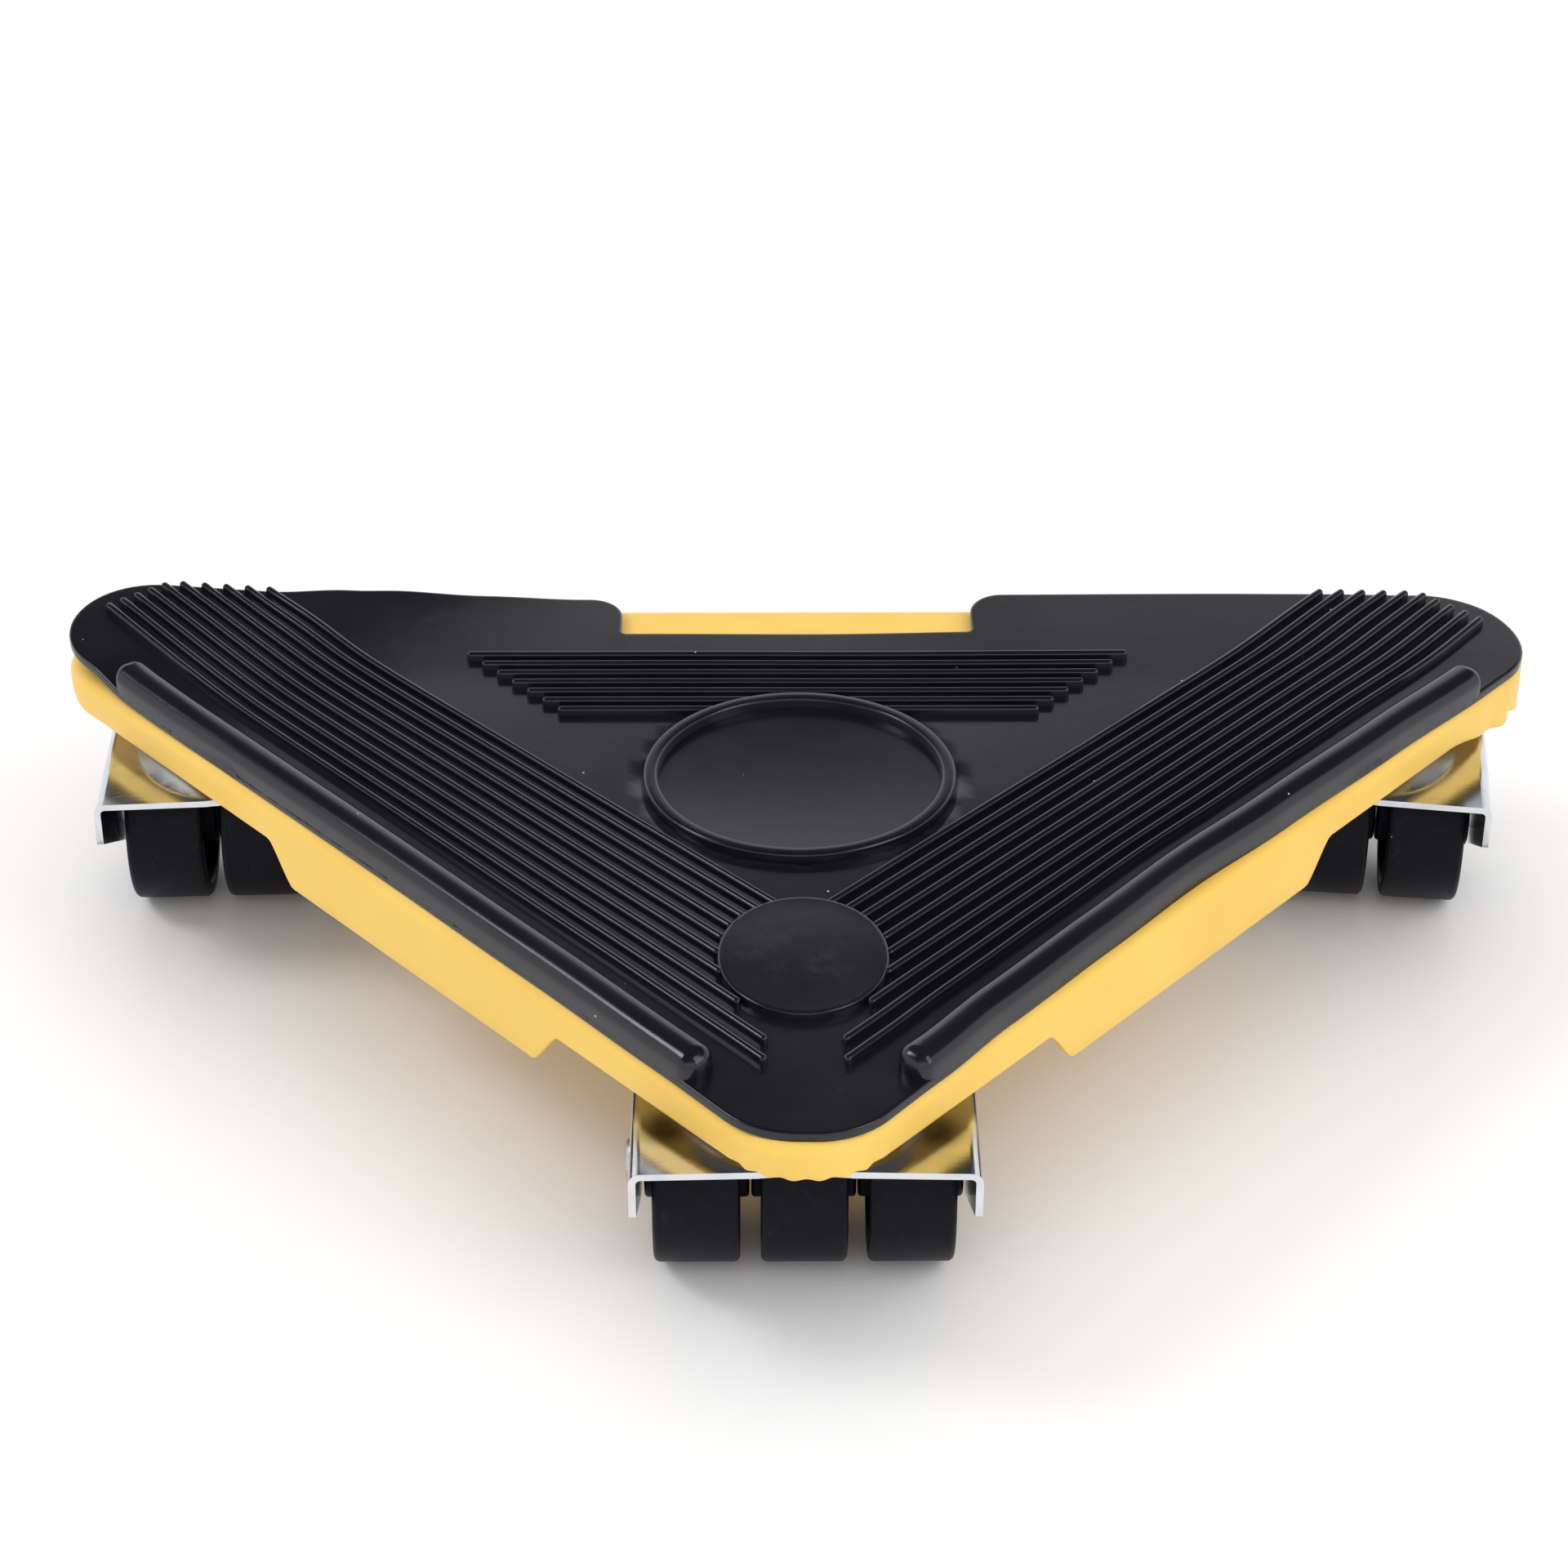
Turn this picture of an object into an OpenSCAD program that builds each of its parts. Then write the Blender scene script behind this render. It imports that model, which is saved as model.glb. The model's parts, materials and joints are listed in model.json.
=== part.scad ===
// Three-cornered furniture dolly: a pressed steel deck with a turned-down rim, a ribbed rubber
// mat on top, and under each corner a swivel caster with three wheels side by side on one axle.
// Millimetres, +Z up, +X right, +Y from the front corner to the back edge.
// The origin lies on the floor, under the middle of the deck.

/* [Deck] */
// Width of the deck along its back edge
deck_w = 346; // [330:2:440]
// Depth of the deck from the back edge to the front corner
deck_d = 217; // [205:1:275]
// Outer radius of the two rear corners
rear_r = 21; // [16:1:30]
// Outer radius of the front corner
front_r = 16; // [12:1:24]
// Thickness of the deck sheet
sheet_t = 1.5; // [1:0.1:2]
// Outer radius of the bend between the deck and its rim
bend_r = 3; // [2.2:0.1:4]
// Depth of the rim round the corners
rim_h = 8.8; // [6:0.1:9.5]
// Depth of the deeper skirt along the middle of each side
skirt_h = 18.2; // [12:0.1:24]
// Length of shallow rim between the front corner's curve and a side skirt
skirt_front_gap = 59; // [50:1:80]
// Length of shallow rim between a rear corner's curve and a side skirt
skirt_rear_gap = 74; // [60:1:90]
// Length of shallow rim between a rear corner's curve and the back skirt
skirt_back_gap = 62; // [50:1:90]
// Length of the slope at each end of a skirt
skirt_slope = 8; // [4:0.5:14]
// Radius that rounds the skirt's corners
skirt_r = 3; // [1:0.5:4]
// How much shallower the rim is at the middle of a corner
corner_rise = 1.2; // [0:0.1:2]
// Depth of the wrinkles that the pressed sheet gathers in at each corner
wrinkle_h = 0.5; // [0:0.1:0.8]
// Number of wrinkles at each corner
wrinkles = 3; // [1:1:4]

/* [Rubber mat] */
// Thickness of the mat's sheet
mat_t = 2; // [1.5:0.1:3]
// Distance of the mat's edge inside the deck's outer face
mat_inset = 1; // [0.5:0.1:2]
// Outer radius of the mat's front corner
mat_front_r = 20; // [16:0.5:24]
// Width of the notch in the mat's back edge, at its bottom
notch_w = 84; // [60:1:110]
// Depth of the notch
notch_d = 16; // [10:1:22]
// Radius of the rounded corners beside the notch
notch_r = 8; // [3:0.5:9]
// Distance of the large ring's centre behind the middle of the deck
ring_y = 25.5; // [20:0.5:32]
// Outer radius of the large ring
ring_r = 35; // [28:0.5:38]
// Width of the large ring's wall
ring_w = 3.2; // [2:0.1:5]
// Height of the large ring above the mat's sheet
ring_h = 2.5; // [1.5:0.1:4]
// Radius of the large ring's upper edges
ring_edge_r = 0.8; // [0.3:0.1:0.9]
// Depth of the dish inside the ring, at its centre
dish_depth = 0.8; // [0.3:0.1:1.2]
// Distance of the front pad's centre in front of the middle of the deck
pad_y = 46.5; // [45:0.5:54]
// Width of the front pad
pad_w = 35.7; // [28:0.1:40]
// Length of the front pad
pad_l = 43; // [40:0.5:48]
// Height of the front pad above the mat's sheet
pad_h = 2; // [1:0.1:3]
// Height of the ribs above the mat's sheet
rib_h = 2; // [1.2:0.1:3]
// Width of a rib
rib_w = 1.8; // [1.7:0.1:2.4]
// Radius of a rib's upper edges
rib_r = 0.8; // [0.4:0.1:0.8]
// Number of ribs along each side
side_ribs = 10; // [4:1:11]
// Distance between neighbouring side ribs
side_pitch = 4.4; // [3.5:0.1:5]
// Distance from the deck's side face to the outermost side rib
side_rib_inset = 16.8; // [15:0.1:20]
// Number of side ribs that run on past the front pad
long_ribs = 2; // [1:1:3]
// Distance of those ribs' front ends from the middle of the deck
rib_front_x = 9; // [6:0.5:14]
// How far the side ribs run on behind a rear corner's centre
rib_rear_reach = 14; // [5:1:16]
// Number of ribs at the back
back_ribs = 7; // [3:1:8]
// Distance between neighbouring back ribs
back_pitch = 4.2; // [3.5:0.1:5]
// Distance from the deck's back face to the rearmost back rib
back_rib_inset = 28.9; // [27:0.1:34]
// Length of the rearmost back rib
back_rib_l = 156; // [120:1:170]
// How much shorter each back rib is than the one behind it
back_rib_step = 7.5; // [4:0.5:10]
// Width of the round bar along each side
bar_w = 8.4; // [8:0.1:10]
// Height of the bar above the mat's sheet
bar_h = 5.5; // [4:0.1:8]
// Radius of the bar's upper edges
bar_r = 3.6; // [1:0.1:3.8]
// Distance along the side from the front corner's centre to the bar's front end
bar_front_gap = 19; // [10:1:60]
// Distance along the side from a rear corner's centre to the bar's rear end
bar_rear_gap = 10; // [0:1:60]

/* [Casters] */
// Distance of the front kingpin from the front corner's tip
front_pin_gap = 37.8; // [36:0.1:46]
// Distance of the rear kingpins from the outer face of the slanting sides
side_pin_gap = 27; // [26.5:0.1:34]
// Distance of the rear kingpins from the deck's back face
back_pin_gap = 39.8; // [36:0.1:46]
// Turn of the front caster as it stands
front_turn = 0; // [-180:1:180]
// Turn of the left caster as it stands
left_turn = 2; // [-180:1:180]
// Turn of the right caster as it stands
right_turn = -7; // [-180:1:180]
// Distance of the axle behind the kingpin
trail = 6.7; // [4:0.1:9]

/* [Wheels] */
// Radius of a wheel
wheel_r = 21; // [19:0.1:21.5]
// Width of a wheel's tread
tread_w = 17.9; // [14:0.1:19]
// Gap between the treads of neighbouring wheels
tread_gap = 4.3; // [3:0.1:6]
// Radius of a wheel's hub
hub_r = 7.6; // [6:0.1:9]
// Slit between neighbouring hubs
hub_slit = 0.4; // [0.3:0.1:1]
// Thickness of a wheel's rim
rim_t = 3.6; // [2.5:0.1:5]
// Thickness of the web between hub and rim
web_t = 7; // [4:0.1:12]
// Rounding of the tread's edges
tread_r = 1.4; // [0.5:0.1:2]
// Diameter of the axle
axle_d = 6; // [5:0.1:8]
// Radial clearance of the wheels on the axle
axle_clear = 0.1; // [0.03:0.01:0.1]
// Radial clearance of the axle in the brackets' holes
axle_hole_clear = 0.05; // [0.03:0.01:0.1]

/* [Brackets] */
// Thickness of the bracket sheet
bracket_t = 1.5; // [1:0.1:2]
// Gap between the tops of the wheels and the bracket's underside
wheel_top_gap = 0.7; // [0.4:0.1:4]
// Outer radius of the bends between the top and the cheeks
bracket_bend = 2.5; // [2.2:0.1:4]
// Distance of the bracket's front edge from the kingpin
bracket_front = 27; // [25:0.5:29]
// Distance of the bracket's back edge from the kingpin
bracket_back = 31; // [29:0.5:34]
// Gap between an outer hub and the cheek beside it
cheek_gap = 0.6; // [0.3:0.1:1.5]
// Depth of a cheek at its front edge
cheek_front_h = 8.4; // [6:0.1:12]
// Depth of a cheek at its back edge
cheek_back_h = 7; // [5:0.1:12]
// Radius of the cheek round the axle
cheek_lobe_r = 7; // [6:0.1:9]
// Radius of the raised boss at its foot
boss_r = 28.5; // [27.5:0.1:30]
// Radius of the boss's flat top
boss_flat_r = 21.5; // [20.5:0.1:23]
// Height of the boss above the bracket's flat top
boss_h = 3.5; // [3.4:0.1:5]
// Radius of the bends at the boss's foot and shoulder
boss_bend = 3; // [2:0.1:4]

/* [Swivels] */
// Diameter of the kingpin
pin_d = 8; // [6:0.1:10]
// Radial clearance of the bracket on the kingpin
pin_clear = 0.1; // [0.03:0.01:0.1]
// Radial clearance of the cup and the washer on the kingpin
pin_fixed_clear = 0.05; // [0.03:0.01:0.1]
// Diameter of a bearing ball
ball_d = 4; // [3:0.1:4.2]
// Number of balls in a race
balls = 16; // [8:1:20]
// Radius of the circle of balls
race_r = 15; // [13:0.1:16]
// Clearance between a ball and each of its grooves
ball_clear = 0.1; // [0.05:0.01:0.2]
// Depth of each ball groove
groove_depth = 0.35; // [0.2:0.01:0.6]
// Thickness of the swivel cup's walls
cup_t = 1.5; // [1:0.1:2]
// Inner radius of the cup's lip round the balls
cup_lip_r = 18; // [17.5:0.1:19]
// Gap between the cup's lip and the bracket's boss
cup_lip_gap = 0.9; // [0.4:0.1:1.5]
// Radius of the cup's flange against the deck
cup_flange_r = 24; // [22:0.5:28]
// Diameter of the kingpin's upper head
pin_head_d = 15; // [12:0.1:18]
// Height of the kingpin's upper head
pin_head_h = 2.2; // [1.5:0.1:2.4]
// Diameter of the kingpin's lower head
pin_foot_d = 13; // [11:0.1:15]
// Gap between the kingpin's upper head and the deck's underside
pin_head_gap = 0.8; // [0.4:0.1:3]
// Height of the kingpin's lower head
pin_foot_h = 2.2; // [1.5:0.1:2.4]
// Diameter of the washer above the lower head
washer_d = 20; // [16:0.1:24]
// Thickness of that washer
washer_t = 1; // [0.8:0.1:1.2]
// Gap between the washer and the bracket
washer_gap = 0.1; // [0.05:0.01:0.2]
// Diameter of the axle's riveted ends
axle_head_d = 10; // [8:0.1:13]
// Height of the axle's riveted ends
axle_head_h = 1.8; // [1:0.1:3]

/* [Hidden] */

$fn = 96;
// Overlap that joins shapes of one piece
lap = 1;
// Depth to which what stands on the mat's sheet is rooted in it
root = 1;
// Steps in a rounded corner of an outline
arc_steps = 6;
// Steps round a corner of the deck, and over the bend into its rim
corner_steps = 24;
bend_steps = 4;
// Steps from the dish's centre to its edge
dish_steps = 8;
// Distance of the side ribs' cut ends from the mat's edge
rib_edge_gap = 0.3;
// Share of its height that a riveted end is rounded by, and the same for the kingpin's upper head
rivet_round = 0.8;
head_round = 0.6;
// Rounding of a wheel's hub, of the web's corners at the hub and at the rim, and of the rim's inner edges
hub_edge_r = 0.8;
web_hub_r = 1;
web_rim_r = 1.5;
rim_edge_r = 0.5;

yellow = "#f2c744";
rubber_black = "#17171c";
wheel_black = "#141418";
zinc = "#c3cad2";
steel = "#a9adb3";

// The deck's outline: the centres of its corner curves, and the lean of its two slanting sides
front_y = -deck_d / 2 + front_r;
rear_x = deck_w / 2 - rear_r;
rear_y = deck_d / 2 - rear_r;
centre_gap = norm([rear_x, rear_y - front_y]);
side_angle = atan2(rear_x, rear_y - front_y) + asin((rear_r - front_r) / centre_gap);
side_len = sqrt(centre_gap ^ 2 - (rear_r - front_r) ^ 2);

// Where the front corner of the mat's outline has its centre: it touches the same sides as an
// outline drawn in by the mat's inset
mat_front_y = front_y + (mat_front_r - front_r + mat_inset) / sin(side_angle);

// Where the kingpins stand, and how the casters are turned
rear_pin_y = deck_d / 2 - back_pin_gap;
rear_pin_x = rear_x + (rear_r - side_pin_gap + (rear_pin_y - rear_y) * sin(side_angle)) / cos(side_angle);
FRONT = [0, -deck_d / 2 + front_pin_gap, front_turn];
LEFT = [-rear_pin_x, rear_pin_y, left_turn];
RIGHT = [rear_pin_x, rear_pin_y, right_turn];

// Wheels on their axle
wheel_pitch = tread_w + tread_gap;
hub_l = wheel_pitch - hub_slit;
cheek_in = wheel_pitch + hub_l / 2 + cheek_gap;
cheek_out = cheek_in + bracket_t;

// Levels from the wheels up through the bracket and the swivel to the deck and its mat
bracket_top = 2 * wheel_r + wheel_top_gap + bracket_t;
boss_top = bracket_top + boss_h;
ball_z = boss_top - groove_depth + ball_clear + ball_d / 2;
cup_floor = ball_z + ball_d / 2 + ball_clear - groove_depth;
deck_under = cup_floor + cup_t + pin_head_h + pin_head_gap;
deck_top = deck_under + sheet_t;
mat_top = deck_top + mat_t;
washer_top = boss_top - bracket_t - washer_gap;
foot_top = washer_top - washer_t;

function unit(v) = v / norm(v);

// One corner of an outline, replaced by an arc that touches both of its sides
function arc_corner(a, p, b, r) =
    r == 0 ? [p] :
    let (u = unit(a - p), v = unit(b - p), half = acos(u * v) / 2)
    let (c = p + unit(u + v) * r / sin(half), s = p + u * r / tan(half) - c, e = p + v * r / tan(half) - c)
    let (from = atan2(s.y, s.x), sweep = (atan2(e.y, e.x) - from + 540) % 360 - 180)
    [for (i = [0:arc_steps]) c + r * [cos(from + sweep * i / arc_steps), sin(from + sweep * i / arc_steps)]];

// A closed outline whose corners [x, y, radius] are rounded
function rounded(corners) =
    let (n = len(corners), at = [for (c = corners) [c.x, c.y]])
    [for (i = [0:n - 1]) each arc_corner(at[(i + n - 1) % n], at[i], at[(i + 1) % n], corners[i].z)];

// The point where a line from p touches a circle, on the side that the sign gives
function touch_point(p, c, r, side) =
    let (d = c - p, l = norm(d), swing = side * asin(r / l), reach = sqrt(l ^ 2 - r ^ 2))
    let (heading = atan2(d.y, d.x) + swing)
    p + reach * [cos(heading), sin(heading)];

// The mat's rounded triangle, drawn in by a further inset
module mat_outline(inset) {
    side = [cos(side_angle), -sin(side_angle)];
    tip_r = mat_front_r - inset;
    heel_r = rear_r - mat_inset - inset;
    tip = [0, mat_front_y] + tip_r * side;
    heel = [rear_x, rear_y] + heel_r * side;
    polygon([tip, heel, [rear_x, rear_y + heel_r], [-rear_x, rear_y + heel_r],
        [-heel.x, heel.y], [-tip.x, tip.y]]);
    translate([0, mat_front_y]) circle(tip_r);
    for (x = [-rear_x, rear_x])
        translate([x, rear_y]) circle(heel_r);
}

// Moves what lies along +Y, outwards to +X, onto the right-hand side of the deck.
// There y runs from the front corner's centre, at 0, to the rear corner's centre.
module on_side() {
    translate([0, front_y, 0]) rotate([0, 0, -side_angle]) translate([front_r, 0, 0]) children();
}

// Both slanting sides
module on_both_sides() {
    on_side() children();
    mirror([1, 0, 0]) on_side() children();
}

// Points [along, depth] of the rim's lower edge on a straight side, with a skirt between two gaps
function side_edge(length, gap_a, gap_b) =
    let (p = rounded([[0, 0, 0], [0, rim_h, 0], [gap_a, rim_h, skirt_r],
        [gap_a + skirt_slope, skirt_h, skirt_r], [length - gap_b - skirt_slope, skirt_h, skirt_r],
        [length - gap_b, rim_h, skirt_r], [length, rim_h, 0], [length, 0, 0]]))
    [for (i = [1:len(p) - 2]) p[i]];

// Stations of the rim, each [point on its outer face, outward normal, depth, draw-in at the foot].
// These lie along a straight side that starts at a point and runs in a direction.
function side_stations(start, heading, edge) =
    [for (e = edge) [start + e.x * [cos(heading), sin(heading)], [sin(heading), -cos(heading)], e.y, 0]];

// Stations round a corner, where the pressed sheet is a little shallower and gathers in wrinkles
function corner_stations(centre, r, from, to) =
    [for (k = [1:corner_steps - 1])
        let (t = k / corner_steps, a = from + (to - from) * t, n = [cos(a), sin(a)])
        [centre + r * n, n, rim_h - corner_rise * sin(180 * t),
            wrinkle_h * (1 - cos(360 * wrinkles * t)) / 2]];

// Section through the rim, as points [inset, height, share of the draw-in]: over the bend,
// down the outer face, and back up the inner face
function rim_profile(depth) =
    let (mid = (bend_r + depth) / 2, inner = bend_r - sheet_t)
    concat(
        [for (k = [0:bend_steps])
            let (a = 90 * k / bend_steps) [bend_r - bend_r * sin(a), bend_r * cos(a) - bend_r, 0]],
        [[0, -mid, 0.5], [0, -depth, 1], [sheet_t, -depth, 1], [sheet_t, -mid, 0.5]],
        [for (k = [bend_steps:-1:0])
            let (a = 90 * k / bend_steps) [bend_r - inner * sin(a), inner * cos(a) - bend_r, 0]]);

// The pressed deck: the rim's section carried round the outline, closed by the flat sheet
module deck() {
    side = [cos(side_angle), -sin(side_angle)];
    leg = side_edge(side_len, skirt_front_gap, skirt_rear_gap);
    leg_back = side_edge(side_len, skirt_rear_gap, skirt_front_gap);
    back = side_edge(2 * rear_x, skirt_back_gap, skirt_back_gap);
    stations = concat(
        side_stations([0, front_y] + front_r * side, 90 - side_angle, leg),
        corner_stations([rear_x, rear_y], rear_r, -side_angle, 90),
        side_stations([rear_x, rear_y + rear_r], 180, back),
        corner_stations([-rear_x, rear_y], rear_r, 90, 180 + side_angle),
        side_stations([-rear_x, rear_y] + rear_r * [-side.x, side.y], side_angle - 90, leg_back),
        corner_stations([0, front_y], front_r, 180 + side_angle, 360 - side_angle));
    n = len(stations);
    m = len(rim_profile(rim_h));
    points = [for (s = stations) for (p = rim_profile(s[2]))
        let (at = s[0] - (p.x + p.z * s[3]) * s[1]) [at.x, at.y, deck_top + p.y]];
    walls = [for (i = [0:n - 1]) for (j = [0:m - 2])
        let (a = i * m + j, b = (i + 1) % n * m + j)
        each [[a, b, b + 1], [a, b + 1, a + 1]]];
    top = [for (i = [n - 1:-1:0]) i * m];
    under = [for (i = [0:n - 1]) i * m + m - 1];
    color(yellow) polyhedron(points, concat(walls, [top, under]));
}

// The notch in the mat's back edge, with rounded corners where it opens
module notch() {
    mouth_y = deck_d / 2 - mat_inset;
    translate([-notch_w / 2, mouth_y - notch_d]) square([notch_w, notch_d + lap]);
    for (s = [-1, 1])
        translate([s * (notch_w / 2 + notch_r), mouth_y - notch_r]) difference() {
            translate([-notch_r, 0]) square([notch_r * 2, notch_r + lap]);
            circle(notch_r);
            translate([s > 0 ? 0 : -notch_r - lap, -lap]) square([notch_r + lap, notch_r + lap]);
        }
}

// The front pad's outline: a circle drawn out a little from front to back
module pad_outline() {
    stretch = (pad_l - pad_w) / 2;
    for (y = [-stretch, stretch])
        translate([0, y - pad_y]) circle(d = pad_w);
    translate([-pad_w / 2, -stretch - pad_y]) square([pad_w, 2 * stretch]);
}

// Section of a round-topped rib or bar, standing on y = 0
module round_top(width, height, r) {
    for (x = [-width / 2 + r, width / 2 - r])
        translate([x, height - r]) circle(r);
    translate([-width / 2, 0]) square([width, height - r]);
    translate([-width / 2 + r, 0]) square([width - 2 * r, height]);
}

// A rib along +Y from y_a to y_b, standing on the mat's sheet
module rib(y_a, y_b) {
    translate([0, y_b, mat_top - root]) rotate([90, 0, 0]) linear_extrude(y_b - y_a)
        round_top(rib_w, rib_h + root, rib_r);
}

// Where a side rib starts: the outer ones at a distance from the deck's middle, the rest on the pad
function rib_start(k, inset) =
    k < long_ribs ? (rib_front_x - (front_r - inset) * cos(side_angle)) / sin(side_angle)
        : (-pad_y - front_y) * cos(side_angle) + (pad_l - pad_w);

// The ribs along both sides, as far as the mat's edge and the front pad
module side_rib_rows() {
    intersection() {
        on_both_sides() for (k = [0:side_ribs - 1]) {
            inset = side_rib_inset + k * side_pitch;
            translate([-inset, 0, 0]) rib(rib_start(k, inset), side_len + rib_rear_reach);
        }
        translate([0, 0, deck_top]) linear_extrude(mat_t + rib_h + lap) difference() {
            mat_outline(rib_edge_gap);
            notch();
            pad_outline();
        }
    }
}

// The ribs across the back, each shorter than the one behind it, cut where the ring stands
module back_rib_rows() {
    difference() {
        for (k = [0:back_ribs - 1]) {
            half = back_rib_l / 2 - k * back_rib_step / 2;
            translate([0, deck_d / 2 - back_rib_inset - k * back_pitch, 0]) rotate([0, 0, 90])
                rib(-half, half);
        }
        translate([0, ring_y, deck_top]) cylinder(r = ring_r - ring_w / 2, h = mat_t + rib_h + lap);
    }
}

// The big round-topped bar along one side, with half-round ends
module bar() {
    x = -mat_inset - bar_w / 2;
    y_a = bar_front_gap + bar_w / 2;
    y_b = side_len - bar_rear_gap - bar_w / 2;
    translate([x, 0, mat_top - root]) {
        translate([0, y_b, 0]) rotate([90, 0, 0]) linear_extrude(y_b - y_a)
            round_top(bar_w, bar_h + root, bar_r);
        for (y = [y_a, y_b])
            translate([0, y, 0]) rotate_extrude() intersection() {
                round_top(bar_w, bar_h + root, bar_r);
                square([bar_w, bar_h + mat_t]);
            }
    }
}

module rubber_mat() {
    ring_in = ring_r - ring_w;
    color(rubber_black) {
        difference() {
            translate([0, 0, deck_top]) linear_extrude(mat_t) difference() {
                mat_outline(0);
                notch();
            }
            translate([0, ring_y, mat_top]) rotate_extrude() polygon([
                for (k = [0:dish_steps]) [ring_in * k / dish_steps, dish_depth * ((k / dish_steps) ^ 2 - 1)],
                [ring_in, lap], [0, lap]]);
        }
        translate([0, ring_y, mat_top - root]) rotate_extrude()
            translate([ring_r - ring_w / 2, 0]) round_top(ring_w, ring_h + root, ring_edge_r);
        translate([0, 0, mat_top - root]) linear_extrude(pad_h + root) pad_outline();
        side_rib_rows();
        back_rib_rows();
        on_both_sides() bar();
    }
}

// Places what is drawn round a kingpin at the origin
module at_caster(caster) {
    translate([caster.x, caster.y, 0]) rotate([0, 0, caster.z]) children();
}

// The groove that the balls run in, as a ring to cut away
module ball_groove() {
    translate([0, 0, ball_z]) rotate_extrude()
        translate([race_r, 0]) circle(ball_d / 2 + ball_clear, $fn = 48);
}

module swivel_cup(caster) {
    wall_r = cup_lip_r + cup_t;
    bore_r = pin_d / 2 + pin_fixed_clear;
    color(zinc) at_caster(caster) difference() {
        rotate_extrude() polygon([
            [bore_r, cup_floor], [cup_lip_r, cup_floor], [cup_lip_r, boss_top + cup_lip_gap],
            [wall_r, boss_top + cup_lip_gap], [wall_r, deck_under - cup_t],
            [cup_flange_r, deck_under - cup_t], [cup_flange_r, deck_under],
            [cup_lip_r, deck_under], [cup_lip_r, cup_floor + cup_t], [bore_r, cup_floor + cup_t]]);
        ball_groove();
    }
}

module kingpin(caster) {
    head_z = cup_floor + cup_t;
    color(steel) at_caster(caster) rotate_extrude() polygon(rounded([
        [0, foot_top - pin_foot_h, 0], [pin_foot_d / 2, foot_top - pin_foot_h, pin_foot_h * rivet_round],
        [pin_foot_d / 2, foot_top, 0], [pin_d / 2, foot_top, 0], [pin_d / 2, head_z, 0],
        [pin_head_d / 2, head_z, 0], [pin_head_d / 2, head_z + pin_head_h, pin_head_h * head_round],
        [0, head_z + pin_head_h, 0]]));
}

module bearing_balls(caster) {
    color(steel) at_caster(caster) for (k = [0:balls - 1])
        rotate([0, 0, 360 * k / balls]) translate([race_r, 0, ball_z]) sphere(d = ball_d, $fn = 32);
}

module kingpin_washer(caster) {
    color(zinc) at_caster(caster) translate([0, 0, foot_top]) difference() {
        cylinder(d = washer_d, h = washer_t);
        translate([0, 0, -lap]) cylinder(r = pin_d / 2 + pin_fixed_clear, h = washer_t + 2 * lap);
    }
}

// The bracket's channel section: a flat top and two cheeks, open below
module channel_section() {
    inner_bend = bracket_bend - bracket_t;
    difference() {
        union() {
            square([cheek_out * 2, bracket_top - bracket_bend]);
            translate([bracket_bend, 0]) square([(cheek_out - bracket_bend) * 2, bracket_top]);
            for (x = [bracket_bend, cheek_out * 2 - bracket_bend])
                translate([x, bracket_top - bracket_bend]) circle(bracket_bend);
        }
        translate([bracket_t, -lap]) square([cheek_in * 2, bracket_top - bracket_bend + lap]);
        translate([bracket_bend, -lap])
            square([(cheek_out - bracket_bend) * 2, bracket_top - bracket_t + lap]);
        for (x = [bracket_bend, cheek_out * 2 - bracket_bend])
            translate([x, bracket_top - bracket_bend]) circle(inner_bend);
    }
}

// The bracket seen from its side: deep round the axle, shallow at both ends
module cheek_outline() {
    front = [-bracket_front, bracket_top - cheek_front_h];
    back = [bracket_back, bracket_top - cheek_back_h];
    axle = [trail, wheel_r];
    translate(axle) circle(cheek_lobe_r);
    polygon([front, touch_point(front, axle, cheek_lobe_r, -1), axle,
        touch_point(back, axle, cheek_lobe_r, 1), back,
        [bracket_back, bracket_top + boss_h + lap], [-bracket_front, bracket_top + boss_h + lap]]);
}

// The raised boss round the kingpin, pressed up from the bracket's top
module boss_shell() {
    // The underside's corners sit further in than the top's, so that the slope keeps the sheet's thickness
    slope_angle = atan2(boss_h, boss_r - boss_flat_r);
    shift = bracket_t * tan(slope_angle / 2);
    under = bracket_top - bracket_t;
    bore_r = pin_d / 2 + pin_clear;
    rotate_extrude() polygon(rounded([
        [boss_r + lap, bracket_top, 0], [boss_r, bracket_top, boss_bend],
        [boss_flat_r, boss_top, boss_bend + bracket_t], [bore_r, boss_top, 0],
        [bore_r, boss_top - bracket_t, 0], [boss_flat_r - shift, boss_top - bracket_t, boss_bend],
        [boss_r - shift, under, boss_bend + bracket_t], [boss_r + lap, under, 0]]));
}

module bracket(caster) {
    color(zinc) at_caster(caster) difference() {
        intersection() {
            union() {
                difference() {
                    translate([-cheek_out, bracket_back, 0]) rotate([90, 0, 0])
                        linear_extrude(bracket_front + bracket_back) channel_section();
                    translate([0, 0, bracket_top - bracket_t - lap])
                        cylinder(r = boss_r, h = bracket_t + 2 * lap);
                }
                boss_shell();
            }
            translate([-cheek_out, 0, 0]) rotate([90, 0, 90])
                linear_extrude(cheek_out * 2) cheek_outline();
        }
        ball_groove();
        translate([-cheek_out - lap, trail, wheel_r]) rotate([0, 90, 0])
            cylinder(r = axle_d / 2 + axle_hole_clear, h = 2 * (cheek_out + lap));
    }
}

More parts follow.
